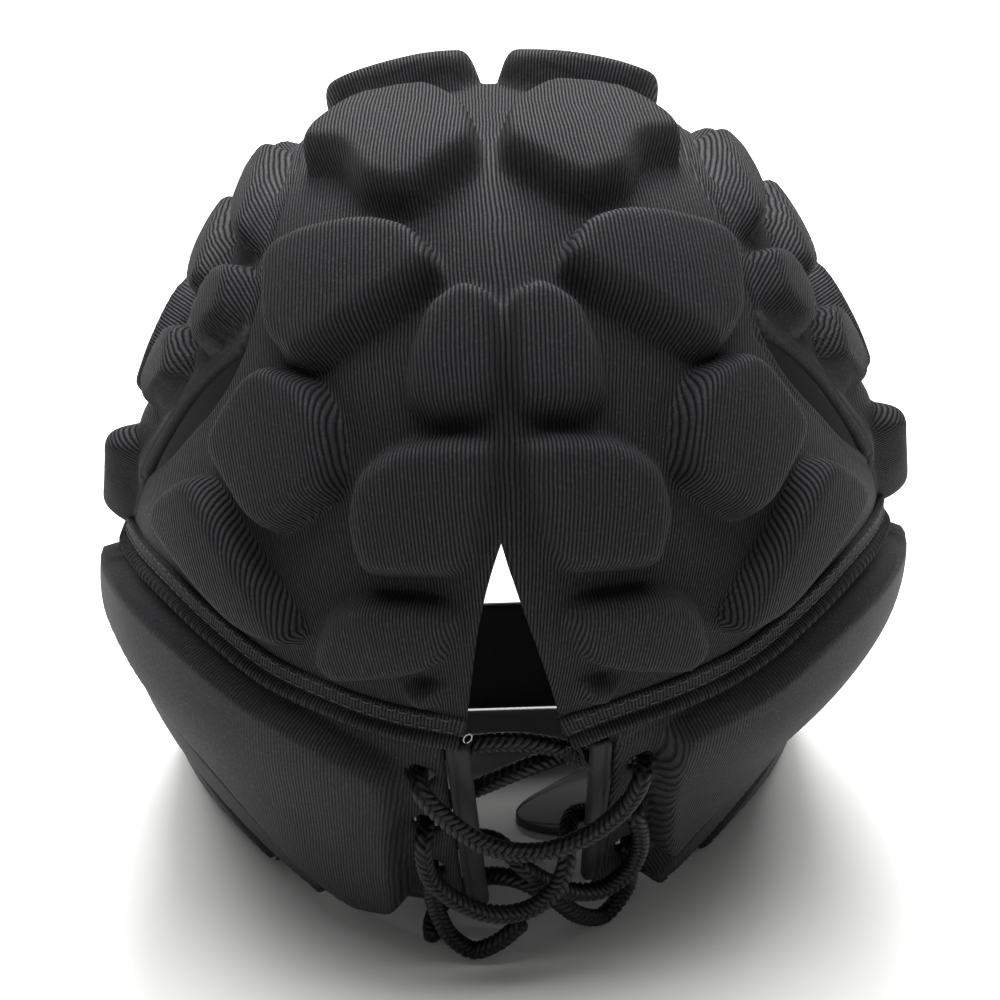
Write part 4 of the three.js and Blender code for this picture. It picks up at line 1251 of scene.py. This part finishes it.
@dataclass
class NapeBand:
    """A nape band from the laced gap round to the cheek, with its long pads, eyelets and ear hole."""

    hand: Hand
    back_rows: int = 9
    side_rows: int = 8
    row_steps: int = 12
    columns: int = 5
    column_steps: int = 14
    ear_spot: tuple[float, float] = (0.75, -0.12)
    ear_size: tuple[float, float] = (30.0, 34.0)
    eyelet_diameter: float = 6.4
    lace_ribs: tuple[float, float, float] = (0.75, 60.0, 18.0)
    seam_ribs: tuple[float, float, float] = (0.5, 9.0, 3.0)
    knit_round: float = 95.0
    knit_down: float = 190.0
    knit_slant: float = 25.0
    knit_level: float = 0.7

    def start(self, steps: int) -> Array:
        """The back edge beside the lace tab, from its top to its foot.

        Args:
            steps: How many stretches it has.

        Returns:
            Map places, shape (steps + 1, 2).
        """
        gap = GAPS[self.hand]
        z = np.linspace(gap.band_top, gap.band_foot, steps + 1)
        return SHELL.nape_spots(self.hand.value * (gap.edge(z) + gap.tab_width + 0.25), z)

    def top_line(self, steps: int) -> Array:
        """The upper seam from the laced gap to the vent."""
        return evenly(lower_back(self.hand, self.start(1)[:1]), steps)

    def holes(self) -> list[Hole]:
        """The eyelets, seen from behind, and the ear hole, seen from the side."""
        radius = self.eyelet_diameter / 2
        ear = SHELL.points(np.array([self.ear_spot]) * [self.hand.value, 1])[0]
        holes = [Hole(spot, (radius, radius), (0, 2)) for spot in EYELETS[self.hand]]
        return holes + [Hole((ear[1], ear[2]), (self.ear_size[0] / 2, self.ear_size[1] / 2), (1, 2))]

    def build(self, finishes: Finishes) -> bpy.types.Object:
        """Fill the band, punch its holes, raise its pads and make the piece.

        Ribs show near the lace and below the upper seam, each with a strength, a reach and a fade in
        millimetres. The cloth's map runs round the cap and down it, with a slant.

        Args:
            finishes: The cap's materials.

        Returns:
            The piece.
        """
        n, m = self.row_steps, self.columns * self.column_steps
        near = joined(
            self.top_line(self.back_rows * n),
            evenly(mirrored(SEAMS.lower_side, self.hand), self.side_rows * n),
        )
        start = self.start(m)
        foot = np.vstack([start[-1], mirrored(SEAMS.band_foot, self.hand)])
        far = evenly(foot, (self.back_rows + self.side_rows) * n)
        front = evenly(mirrored(SEAMS.band_front, self.hand), m)
        grid = filled(near, far, start, front)
        spots, quads = grid.reshape(-1, 2), grid_quads(numbered(grid), self.hand)
        for hole in self.holes():
            spots, quads = hole.punch(SHELL.points(spots), spots, quads)
        used, quads = np.unique(quads, return_inverse=True)
        spots, quads = spots[used], quads.reshape(-1, 4)
        word = self.hand.word
        wall = ClothWall(f"nape_band_cloth_{word}", spots, quads, [near, far, start, front])
        wall.edge_distance[np.unique(open_edges(quads))] = 0
        wall.add_pads(tuple(pad.foam(self.hand) for pad in BAND_PADS), self.hand)
        wall.add_groove(near, at=3.4, width=0.8, depth=0.5)
        wall.add_groove(far, at=3.6, width=0.6, depth=0.3)
        wall.add_unevenness(0.25)
        strongest, reach, fade = self.lace_ribs
        at_lace = strongest * smooth((reach - np.abs(wall.points[:, 0])) / fade)
        strongest, reach, fade = self.seam_ribs
        below = line_distance(wall.points, SHELL.points(near), reach + fade)
        at_seam = strongest * smooth((reach - below) / fade)
        angle = np.arctan2(self.hand.value * wall.spots[:, 0], wall.spots[:, 1])
        down = np.hypot(wall.spots[:, 0], wall.spots[:, 1])
        across = angle * self.knit_round - self.knit_slant * (down - self.knit_level)
        cloth_map = np.stack([across, down * self.knit_down], -1)
        piece = wall.build(finishes, cloth_map, np.maximum(at_lace, at_seam))
        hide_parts(f"nape_band_{word}", *(f"{pad.name}_{word}" for pad in BAND_PADS))
        return piece


def swept(rings: Array) -> tuple[Array, list[Array]]:
    """Points and faces of a tube through rings, with a fan about a middle point at both ends.

    Args:
        rings: Shape (stations, points a ring, 3).

    Returns:
        The points, and the arrays of walls and of end fans.
    """
    number = numbered(rings)
    after = np.roll(number, -1, axis=1)
    quads = np.stack([number[:-1], after[:-1], after[1:], number[1:]], -1).reshape(-1, 4)
    points = np.vstack([rings.reshape(-1, 3), rings[0].mean(0), rings[-1].mean(0)])
    first = np.stack([after[0], number[0], np.full(rings.shape[1], number.size)], -1)
    last = np.stack([number[-1], after[-1], np.full(rings.shape[1], number.size + 1)], -1)
    return points, [quads, np.vstack([first, last])]


def ends_too(cloth_map: Array) -> Array:
    """A swept tube's map, shape (stations, points a ring, 2), as rows with two more for its end middles."""
    rows = cloth_map.reshape(-1, 2)
    return np.vstack([rows, rows[:1], rows[-1:]])


def carried(line: Array, across: Array, up: Array, section: Array) -> Array:
    """Rings of a section carried along a line: its first number goes across and its second up."""
    section = np.broadcast_to(section, (len(line), *section.shape[-2:]))
    return line[:, None] + across[:, None] * section[..., :1] + up[:, None] * section[..., 1:]


def outward(points: Array, faces: list[Array]) -> list[Array]:
    """The faces, turned round if together they enclose a negative volume.

    Args:
        points: Shape (n, 3).
        faces: Arrays of corner numbers.

    Returns:
        The arrays, all turned or all as they were.
    """
    volume = 0.0
    for face in faces:
        a = points[face[:, 0]]
        for k in range(1, face.shape[1] - 1):
            volume += float((a * np.cross(points[face[:, k]], points[face[:, k + 1]])).sum())
    return faces if volume > 0 else [face[:, ::-1] for face in faces]


def capsules(middles: Array, ahead: Array, up: Array, length: float, width: float) -> tuple:
    """Points and faces of many small stitches, each a six-sided bar whose ends dip into the cloth.

    Args:
        middles: The middle of each stitch, shape (n, 3).
        ahead: The direction along each stitch.
        up: The direction out of the cloth.
        length: The length of a stitch in millimetres.
        width: Its diameter in millimetres.

    Returns:
        The points and the face array.
    """
    across = np.cross(up, ahead)
    share = np.array([-1.0, -0.7, 0.0, 0.7, 1.0])
    radius = width / 2 * np.array([0.45, 0.9, 1.0, 0.9, 0.45])
    dip = -width * np.array([0.6, 0.1, 0.0, 0.1, 0.6])
    turn = np.arange(6) * np.pi / 3
    ring = (
        ahead[:, None, None] * (share * length / 2)[None, :, None, None]
        + up[:, None, None] * (dip[:, None] + radius[:, None] * np.sin(turn))[None, ..., None]
        + across[:, None, None] * (radius[:, None] * np.cos(turn))[None, ..., None]
    )
    points = (middles[:, None, None] + ring).reshape(-1, 3)
    number = np.arange(30).reshape(5, 6)
    after = np.roll(number, -1, axis=1)
    one = np.stack([number[:-1], after[:-1], after[1:], number[1:]], -1).reshape(-1, 4)
    caps = np.array([[0, 5, 4, 3], [0, 3, 2, 1], [24, 25, 26, 27], [24, 27, 28, 29]])
    one = np.vstack([one, caps])
    quads = (np.arange(len(middles))[:, None, None] * 30 + one[None]).reshape(-1, 4)
    return points, quads


@dataclass
class SeamBinding:
    """The lower seam's binding: a rolled, ribbed edge and a stitched flat tape above it.

    Places across it are in millimetres up the cap from the seam.
    """

    hand: Hand
    roll_middle: float = -1.3
    roll_half: float = 1.7
    roll_height: float = 2.5
    rib_pitch: float = 1.15
    rib_depth: float = 0.16
    tape_low: float = 0.7
    tape_high: float = 5.4
    tape_height: float = 1.0
    stitch_rows: tuple[float, float] = (1.7, 4.5)
    stitch_pitch: float = 2.9
    stitch_length: float = 2.1
    stitch_width: float = 0.5
    stitch_dip: float = 0.22
    tape_round: float = 0.7
    under: float = -0.5
    lift: float = 0.2
    across: int = 29
    back_steps: int = 560
    side_steps: int = 300

    def line(self) -> Array:
        """Map spots along the lower seam, from the laced gap to the cheek."""
        gap = GAPS[self.hand]
        top = SHELL.nape_spots(self.hand.value * (gap.slit_foot + 1), gap.band_top + 1)
        back = lower_back(self.hand, top)
        side = mirrored(SEAMS.lower_side, self.hand)
        return joined(evenly(back, self.back_steps), evenly(side, self.side_steps))

    def frames(self, spots: Array) -> tuple[Array, Array, Array, Array]:
        """Points of the seam with three directions at each.

        Args:
            spots: Map spots along it.

        Returns:
            The points, and the directions ahead, up the cap and out of the cloth.
        """
        line = SHELL.lifted(spots, self.lift)
        up = SHELL.normals(spots)
        ahead = unit(np.gradient(line, axis=0))
        across = unit(np.cross(up, ahead))
        to_crown = (across * ([0, 0, SHELL.height] - line)).sum(1, keepdims=True)
        return line, ahead, across * np.sign(to_crown), up

    def height(self, at: Array, run: Array) -> Array:
        """Height of the binding: a half ellipse with ribs, then a flat tape that dips at its stitches.

        Args:
            at: Places across it, shape (1, n).
            run: Places along it, shape (stations, 1).

        Returns:
            Heights in millimetres, shape (stations, n).
        """
        roll = np.sqrt(np.clip(1 - ((at - self.roll_middle) / self.roll_half) ** 2, 0, 1)) * self.roll_height
        roll = roll * (1 + self.rib_depth / self.roll_height * np.sin(2 * np.pi * run / self.rib_pitch))
        edge = np.minimum(at - self.tape_low, self.tape_high - at)
        tape = np.sqrt(np.clip(1 - np.clip(1 - edge / self.tape_round, 0, 1) ** 2, 0, 1)) * self.tape_height
        dips = sum(
            self.stitch_dip * np.exp(-(((at - row) / self.stitch_width) ** 2)) for row in self.stitch_rows
        )
        return np.maximum(roll, tape - np.where(edge > 0, dips, 0))

    def stitches(self, spots: Array, run: Array, finishes: Finishes) -> bpy.types.Object:
        """Both rows of stitches along the tape as one mesh.

        Args:
            spots: Map spots along the seam.
            run: How far along it each lies, in millimetres.
            finishes: The cap's materials.

        Returns:
            The piece.
        """
        line, ahead, across, up = self.frames(spots)
        at = np.arange(2.5, run[-1] - 2, self.stitch_pitch)
        points, quads = [], []
        for k, row in enumerate(self.stitch_rows):
            places = at + k * self.stitch_pitch / 2
            read = [
                np.stack([np.interp(places, run, column) for column in field.T], -1)
                for field in (line, ahead, across, up)
            ]
            middles = read[0] + read[2] * row + read[3] * (self.tape_height - 0.05)
            some, faces = capsules(middles, read[1], read[3], self.stitch_length, self.stitch_width)
            quads.append(faces + len(points) * len(some))
            points.append(some)
        points, quads = np.vstack(points), np.vstack(quads)
        return new_mesh(
            f"seam_stitches_{self.hand.word}", points, outward(points, [quads]), [finishes.thread],
        )

    def build(self, finishes: Finishes) -> list[bpy.types.Object]:
        """Carry the binding's section along the seam and sew it on.

        Args:
            finishes: The cap's materials.

        Returns:
            The binding and its stitches.
        """
        spots = self.line()
        line, _, across, up = self.frames(spots)
        run = np.concatenate([[0], np.cumsum(np.linalg.norm(np.diff(line, axis=0), axis=1))])
        at = np.linspace(self.roll_middle - self.roll_half, self.tape_high, self.across)
        top = np.maximum(self.height(at[None], run[:, None]), -self.lift)
        wide = np.broadcast_to(at, top.shape)
        section = np.stack([
            np.hstack([wide, wide[:, ::-1]]), np.hstack([top, np.full(top.shape, self.under)]),
        ], -1)
        points, faces = swept(carried(line, across, up, section))
        along = np.broadcast_to(run[:, None], section.shape[:2])
        piece = new_mesh(
            f"seam_binding_{self.hand.word}", points, outward(points, faces), [finishes.knit],
            cloth_map=ends_too(np.stack([along, section[..., 0]], -1)),
        )
        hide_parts(f"seam_piping_{self.hand.word}")
        return [piece, self.stitches(spots, run, finishes)]


@dataclass
class LaceTab:
    """A smooth folded binding down one side of the laced gap."""

    hand: Hand
    thickness: float = 3.4
    hem_share: float = 0.3
    rows: int = 70
    hem_width: float = 0.14
    hem_depth: float = 0.45
    side_power: float = 0.6
    face_power: float = 0.75
    end_length: float = 1.6
    end_share: float = 0.72
    around: int = 56

    def build(self, finishes: Finishes) -> bpy.types.Object:
        """Carry a flat oval section down the gap's edge, on the shell's wall.

        The oval's coordinates are powers of a circle's, and a bell-shaped groove along it parts the hem.

        Args:
            finishes: The cap's materials.

        Returns:
            The piece.
        """
        gap = GAPS[self.hand]
        z = np.linspace(gap.tab_top, gap.tab_foot, self.rows)
        half = (gap.tab_width - 0.25) / 2
        spots = SHELL.nape_spots(self.hand.value * (gap.edge(z) + half), z)
        line = SHELL.lifted(spots, -WALL / 2)
        up = SHELL.normals(spots)
        across = unit(np.cross(up, np.gradient(line, axis=0)))
        turn = np.linspace(0, 2 * np.pi, self.around, endpoint=False)
        wide = np.sign(np.cos(turn)) * np.abs(np.cos(turn)) ** self.side_power
        thick = np.sign(np.sin(turn)) * np.abs(np.sin(turn)) ** self.face_power
        off_hem = (wide - self.hem_share * self.hand.value) / self.hem_width
        thick = thick * (1 - self.hem_depth * np.exp(-(off_hem**2)))
        section = np.stack([wide * half, thick * self.thickness / 2], -1)
        ends = np.clip(np.minimum(z.max() - z, z - z.min()) / self.end_length, 0, 1)
        section = section * (self.end_share + (1 - self.end_share) * np.sqrt(ends))[:, None, None]
        points, faces = swept(carried(line, across, up, section))
        piece = new_mesh(
            f"gap_binding_{self.hand.word}", points, outward(points, faces), [finishes.tape],
        )
        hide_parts(f"lace_tab_{self.hand.word}")
        return piece


@dataclass
class Lace:
    """One braided lace through six eyelets, with both ends free."""

    diameter: float = 4.5
    step: float = 0.22
    around: int = 36
    columns: int = 4
    strand_pitch: float = 1.7
    strand_depth: float = 0.62
    strand_slant: float = 1.25
    strand_offset: float = 0.25
    tight_across: float = 2.1
    tight_along: float = 1.8
    least_raised: float = 0.3
    end_length: float = 1.5
    yarn_size: tuple[float, float] = (4.0, 0.8)
    route: tuple = (
        (3, 12, 6), (-4, 6, 8.5), (-9.5, 3.5, 9.5), (-14.5, 7.5, 8.5), (-17.5, 16, 6), (-18.5, 24, 4.4),
        (-18.5, 30, 2.6), (-18.5, 30, -4), (-15, 32, -7.5), (-8, 36, -7.5), (-3, 36.5, -5), (3, 32, 2.5),
        (9, 24.5, 4), (15, 19.5, 6), (22, 18.5, 8), (28, 25, 9), (30, 35, 7.5), (28.6, 44, 4),
        (28.5, 45, 1), (28.5, 45.5, -4.5), (24, 54, -8), (18, 61.5, -7.5), (11, 67, -6.5), (2, 70, -6),
        (-8, 69, -6.5), (-15, 66, -7.5), (-19.3, 63.3, -4.5), (-19.5, 63, 0), (-19, 61.5, 4.5),
        (-13, 54, 7), (-4, 46.5, 8), (7, 43.5, 8.5), (18, 46, 8), (26, 53.5, 7.5), (29.3, 60.5, 5),
        (29.5, 62, 0), (29, 61.5, -5.5), (23, 57.5, -14), (14, 59.5, -13), (5, 60, -9), (-5, 56, -7),
        (-13, 50, -7.5), (-18.5, 46.5, -5), (-18.8, 46, 0), (-19.3, 44, 5), (-18.5, 35, 9),
        (-13, 28, 10.5), (-5, 23, 11), (3, 22, 10.5), (9.5, 27, 10), (12.5, 34, 7), (13, 39, 0.5),
        (14.5, 40, -7), (20, 36, -9.5), (26, 29.5, -7.5), (28, 27, -3), (28, 27, 2.4), (28.3, 19.5, 4),
        (27.5, 10.5, 6), (22, 4, 8), (16, 8, 7), (10, 15.5, 3), (2, 21, -3), (-6, 19, -8), (-13, 11, -8),
        (-18, 6.5, -3), (-19.5, 4.5, 3), (-19, 3, 8),
    )

    def frames(self, line: Array) -> tuple[Array, Array]:
        """Two directions square to the line that turn with it as little as they can.

        A first pair comes from one fixed direction. The turn of that pair between neighbours, less the turn
        of the line itself, is summed along the line and taken back out.

        Args:
            line: The cord's middle line, shape (n, 3).

        Returns:
            The two directions at each of its points.
        """
        ahead = unit(np.gradient(line, axis=0))
        fixed = np.array([0.31, 0.17, 0.94])
        side = unit(np.cross(ahead, fixed))
        over = np.cross(ahead, side)
        axis = np.cross(ahead[:-1], ahead[1:])
        cosine = (ahead[:-1] * ahead[1:]).sum(1)[:, None]
        moved = side[:-1] * cosine + np.cross(axis, side[:-1])
        moved += axis * (axis * side[:-1]).sum(1)[:, None] / (1 + cosine)
        twist = np.arctan2((moved * over[1:]).sum(1), (moved * side[1:]).sum(1))
        angle = np.concatenate([[0], np.cumsum(twist)])[:, None]
        return np.cos(angle) * side + np.sin(angle) * over, -np.sin(angle) * side + np.cos(angle) * over

    def build(self, finishes: Finishes) -> bpy.types.Object:
        """Carry a circle along the route and raise the braid's strands on it.

        Around the cord lie columns of short fat strands that slant in turn one way and the other, so each
        pair makes a row of chevrons. A strand's height is a half circle across its width, and it dives at
        both ends, where the next column's strands come out between.

        Args:
            finishes: The cap's materials.

        Returns:
            The piece.
        """
        rough = SHELL.nape_points(np.array(self.route, float))
        length = np.linalg.norm(np.diff(evenly(rough, 2000, centripetal=True), axis=0), axis=1).sum()
        line = evenly(rough, int(length / self.step), centripetal=True)
        side, over = self.frames(line)
        run = np.linspace(0, length, len(line))[:, None]
        turn = np.linspace(0, 2 * np.pi, self.around, endpoint=False)[None]
        place = turn / (2 * np.pi) * self.columns
        column = np.floor(place)
        within = place - column - 0.5
        way = np.where(column % 2 == 0, 1.0, -1.0)
        phase = run / self.strand_pitch + way * (within * self.strand_slant + self.strand_offset)
        across = np.sqrt(np.clip(1 - (self.tight_across * (phase - np.round(phase))) ** 2, 0, 1))
        along = np.sqrt(np.clip(1 - (self.tight_along * within) ** 2, 0, 1))
        raised = across * (self.least_raised + (1 - self.least_raised) * along)
        radius = self.diameter / 2 - self.strand_depth * (1 - raised)
        ends = np.clip(np.minimum(run, length - run) / self.end_length, 0.02, 1)
        radius = radius * np.sqrt(1 - (1 - ends) ** 2)
        section = np.stack([np.cos(turn) * radius, np.sin(turn) * radius], -1)
        points, faces = swept(carried(line, side, over, section))
        yarn = np.stack([phase, np.broadcast_to(within, phase.shape)], -1) * self.yarn_size
        # The strands' raise goes in as rib_strength, which the braid's material turns into painted shade and
        # light.
        piece = new_mesh(
            "braided_lace", points, outward(points, faces), [finishes.braid], None, ends_too(yarn),
            np.append(raised.ravel(), [0, 0]),
        )
        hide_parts("lace")
        LOG.info("lace length %.0f mm", length)
        return piece


@dataclass
class ChinStrap:
    """A flat strap of the chin closure, with a stitched hem along both edges."""

    node: str
    route: tuple
    steps: int
    width: float = 34.0
    thickness: float = 2.0
    hem: float = 4.0
    rounded_end: float = 0.0
    hem_width: float = 0.7
    hem_depth: float = 0.35
    edge_round: float = 1.4
    face_points: int = 41

    def build(self, finishes: Finishes) -> bpy.types.Object:
        """Carry a flat section with round edges and hem grooves along the route.

        A row of the route is a place, the band's lean from upright in degrees, and the share of its width.

        Args:
            finishes: The cap's materials.

        Returns:
            The piece.
        """
        rows = np.array(self.route, float)
        t = np.linspace(0, 1, self.steps + 1)
        line = through(rows[:, :3], t, centripetal=True)
        lean, share = through(rows[:, 3:], t, centripetal=False).T
        ahead = unit(np.gradient(line, axis=0) * [1, 1, 0])
        level = np.stack([-ahead[:, 1], ahead[:, 0], 0 * t], -1)
        tilt = np.radians(lean)[:, None]
        upward = np.array([0.0, 0.0, 1.0])
        wide = upward * np.cos(tilt) + level * np.sin(tilt)
        thin = level * np.cos(tilt) - upward * np.sin(tilt)
        rest = np.linalg.norm(line - line[-1], axis=1)
        if self.rounded_end:
            share = share * np.sqrt(1 - (1 - np.clip(rest / self.rounded_end, 0.004, 1)) ** 2)
        half = self.width / 2
        over = np.linspace(-1, 1, self.face_points)
        place = np.concatenate([over, over[::-1][1:-1]])
        face = np.repeat([1.0, -1.0], [len(over), len(over) - 2])
        near_edge = half * (1 - np.abs(place))
        bulge = np.sqrt(np.clip(1 - np.clip(1 - near_edge / self.edge_round, 0, 1) ** 2, 0.02, 1))
        groove = self.hem_depth * np.exp(-(((near_edge - self.hem) / self.hem_width) ** 2))
        thick = face * (self.thickness / 2 * bulge - groove)
        section = np.stack([place * half * share[:, None], np.broadcast_to(thick, (len(t), len(place)))], -1)
        points, faces = swept(carried(line, wide, thin, section))
        piece = new_mesh(f"{self.node}_cloth", points, outward(points, faces), [finishes.strap])
        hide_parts(self.node)
        return piece


LONG_STRAP = (
    (-82, 20, 17.4, 0, 1), (-82, 28, 17.4, 0, 1), (-77, 37, 17.4, 0, 1), (-65, 40, 17.4, 0, 1),
    (-20, 40, 17.4, 0, 1), (30, 40, 17.4, 0, 1), (50, 39.5, 17.4, 0, 1), (60, 36, 17.4, 0, 1),
    (63.5, 27, 17.6, 8, 1), (58.5, 18, 16, 32, 1), (48.5, 7, 9.4, 65, 1), (38, -4, 3.8, 84, 0.95),
    (20, -15, 1.5, 90, 0.85), (2, -21, 1.3, 90, 0.75),
)
SHORT_STRAP = (
    (72.2, 24, 17.4, 0, 1), (72, 33, 17.4, 0, 1), (67.5, 41.5, 17.4, 0, 1), (57, 43.9, 17.4, 0, 1),
    (42, 44, 17.4, 0, 1), (22, 44, 17.4, 0, 1),
)


@dataclass
class LooseThreads:
    """The thread ends at the slit's foot: one pale loop on the left and a dark tuft on the right."""

    loop_width: float = 0.25
    loop_size: float = 2.0
    tuft_count: int = 14
    tuft_length: float = 4.2
    tuft_width: float = 0.45
    thread_steps: int = 14

    def thread(self, route: Array, width: float) -> tuple[Array, list[Array]]:
        """A round six-sided thread along a smooth route.

        Args:
            route: The points that it passes, shape (n, 3).
            width: Its diameter in millimetres.

        Returns:
            The points and the face arrays.
        """
        line = evenly(route, self.thread_steps, centripetal=True)
        ahead = unit(np.gradient(line, axis=0))
        side = unit(np.cross(ahead, [0.2, 0.97, 0.1]))
        turn = np.arange(6) * np.pi / 3
        section = np.stack([np.cos(turn), np.sin(turn)], -1) * width / 2
        return swept(carried(line, side, np.cross(ahead, side), section))
    def build(self, finishes: Finishes) -> list[bpy.types.Object]:
        """Make the loop and the tuft where the seams end at the gap.

        The loop is an arc of an ellipse. Each thread of the tuft hangs from near one spot and bends by a
        square law.

        Args:
            finishes: The cap's materials.

        Returns:
            Both pieces.
        """
        left, right = (
            SHELL.nape_points(np.array([[hand.value * GAPS[hand].slit_foot, GAPS[hand].band_top, 2.0]]))[0]
            for hand in (Hand.LEFT, Hand.RIGHT)
        )
        turn = np.linspace(-0.5, 1.3, 9)[:, None] * np.pi
        loop = left + [0.6, -0.5, 2.2] + self.loop_size * (
            np.cos(turn) * [0.45, 0, 0.1] + np.sin(turn) * [0.1, -0.1, 0.6]
        )
        points, faces = self.thread(loop, self.loop_width)
        pale = new_mesh("loose_loop", points, outward(points, faces), [finishes.pale_thread])
        rng = np.random.default_rng(7)
        parts, tris, quads = [], [], []
        for k in range(self.tuft_count):
            start = right + [2.2, 0, -0.6] + rng.uniform(-1, 1, 3) * [1.5, 0.4, 0.9]
            hang = np.array([0.25, -0.5, -1.0]) + rng.uniform(-1, 1, 3) * [0.5, 0.3, 0.2]
            bend = rng.uniform(-1, 1, 3) * 0.8
            reach = self.tuft_length * rng.uniform(0.45, 1)
            share = np.linspace(0, 1, 4)[:, None]
            some, (walls, caps) = self.thread(start + hang * share * reach + bend * share**2, self.tuft_width)
            quads.append(walls + k * len(some))
            tris.append(caps + k * len(some))
            parts.append(some)
        points, faces = np.vstack(parts), [np.vstack(quads), np.vstack(tris)]
        dark = new_mesh("loose_tuft", points, outward(points, faces), [finishes.braid])
        return [pale, dark]


def closure_patch() -> ChinStrap:
    """The hook and loop patch, as a short upright band that fills its node's box."""
    low, high = (np.array(corner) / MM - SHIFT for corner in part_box("strap_closure"))
    middle, size = (low + high) / 2, high - low
    ends = np.linspace(low[0] + 0.05, high[0] - 0.05, 4)
    route = tuple((x, middle[1], middle[2], 0, 1) for x in ends)
    return ChinStrap("strap_closure", route, 24, width=size[2], thickness=size[1], hem=3.0)


@dataclass
class Studio:
    """The pale floor, the soft lights and the camera at the photo's angle.

    Lengths of the camera are in millimetres, angles in degrees and the lens in pixels of the photo's
    frame. A lamp is its name, its place and its size in metres and its power in watts.
    """

    elevation: float = 24.0
    distance: float = 560.0
    target: tuple[float, float, float] = (0.0, 0.0, 84.0)
    lens_px: float = 3.9 * 560
    image_px: float = 1000.0
    roll: float = -1.7
    sensor: float = 36.0
    floor_reach: float = 3.0
    lamps: tuple = (("overhead", (0.0, 0.4, 2.6), 3.0, 140), ("front", (0.0, 0.95, 1.0), 0.6, 18))
    lamp_target: tuple[float, float, float] = (0.0, 0.0, 0.08)
    room_light: float = 0.2

    def camera(self) -> None:
        """Place the camera: behind the nape, looking down, with a slight roll."""
        e, roll = np.radians(self.elevation), np.radians(self.roll)
        back = np.array([0, -np.cos(e), np.sin(e)])
        right, up = np.array([1.0, 0, 0]), np.array([0, np.sin(e), np.cos(e)])
        across = np.cos(roll) * right + np.sin(roll) * up
        upright = -np.sin(roll) * right + np.cos(roll) * up
        place = (np.array(self.target) + SHIFT + back * self.distance) * MM
        data = bpy.data.cameras.new("camera")
        data.sensor_width = self.sensor
        data.lens = self.sensor * self.lens_px / self.image_px
        data.clip_start, data.clip_end = 0.01, 20
        camera = bpy.data.objects.new("camera", data)
        turn = Matrix(np.stack([across, upright, back], 1).tolist()).to_4x4()
        camera.matrix_world = Matrix.Translation(place) @ turn
        bpy.context.scene.collection.objects.link(camera)
        bpy.context.scene.camera = camera

    def lamp(self, name: str, place: tuple[float, float, float], size: float, power: float) -> None:
        """Add a square soft light that faces the cap.

        Args:
            name: The lamp's name.
            place: Its middle in metres.
            size: Its side in metres.
            power: Its power in watts.
        """
        data = bpy.data.lights.new(name, "AREA")
        data.size, data.energy = size, power
        lamp = bpy.data.objects.new(name, data)
        back = Vector(place) - Vector(self.lamp_target)
        lamp.matrix_world = Matrix.Translation(place) @ back.to_track_quat("Z", "Y").to_matrix().to_4x4()
        bpy.context.scene.collection.objects.link(lamp)

    def build(self) -> None:
        """Make the floor, the lights and the white surroundings."""
        paper = Shader("white_backdrop_paper").dress(
            Base_Color=linear("f4f4f2"), Roughness=0.9, Specular_IOR_Level=0.2,
        )
        side = self.floor_reach / MM
        corners = np.array([[-side, -side, 0], [side, -side, 0], [side, side, 0], [-side, side, 0]])
        floor = new_mesh("floor", corners - SHIFT, [np.array([[0, 1, 2, 3]])], [paper])
        for lamp in self.lamps:
            self.lamp(*lamp)
        world = bpy.data.worlds.new("white_room")
        world.use_nodes = True
        background = world.node_tree.nodes["Background"]
        background.inputs[0].default_value = linear("ffffff")
        background.inputs[1].default_value = self.room_light
        bpy.context.scene.world = world
        bpy.context.scene.view_settings.view_transform = "Standard"


def main() -> None:
    """Build the studio and each piece in order."""
    logging.basicConfig(level=logging.INFO, format="%(name)s: %(message)s")
    studio = Studio()
    studio.camera()
    finishes = Finishes.made()
    pieces = [(Lace().build(finishes), "braidedCord")]
    padded = [CrownPanel().build(finishes)]
    for hand in Hand:
        padded += [SidePanel(hand).build(finishes), NapeBand(hand).build(finishes)]
        pieces += [(piece, "ribbedCloth") for piece in SeamBinding(hand).build(finishes)]
        pieces += [(LaceTab(hand).build(finishes), "bindingTape")]
    pieces += [
        (ChinStrap("chin_strap_left", LONG_STRAP, 260, rounded_end=26).build(finishes), "strapCloth"),
        (ChinStrap("chin_strap_right", SHORT_STRAP, 80).build(finishes), "strapCloth"),
        (closure_patch().build(finishes), "strapCloth"),
    ]
    pieces += [(piece, "bindingTape") for piece in LooseThreads().build(finishes)]
    for piece in padded:
        pieces.append((piece, "ribbedCloth"))
    for piece, slot in pieces:
        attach(piece, "root")
        LOG.info("%s: %d faces", piece.name, len(piece.data.polygons))
    studio.build()


if __name__ == "__main__":
    main()
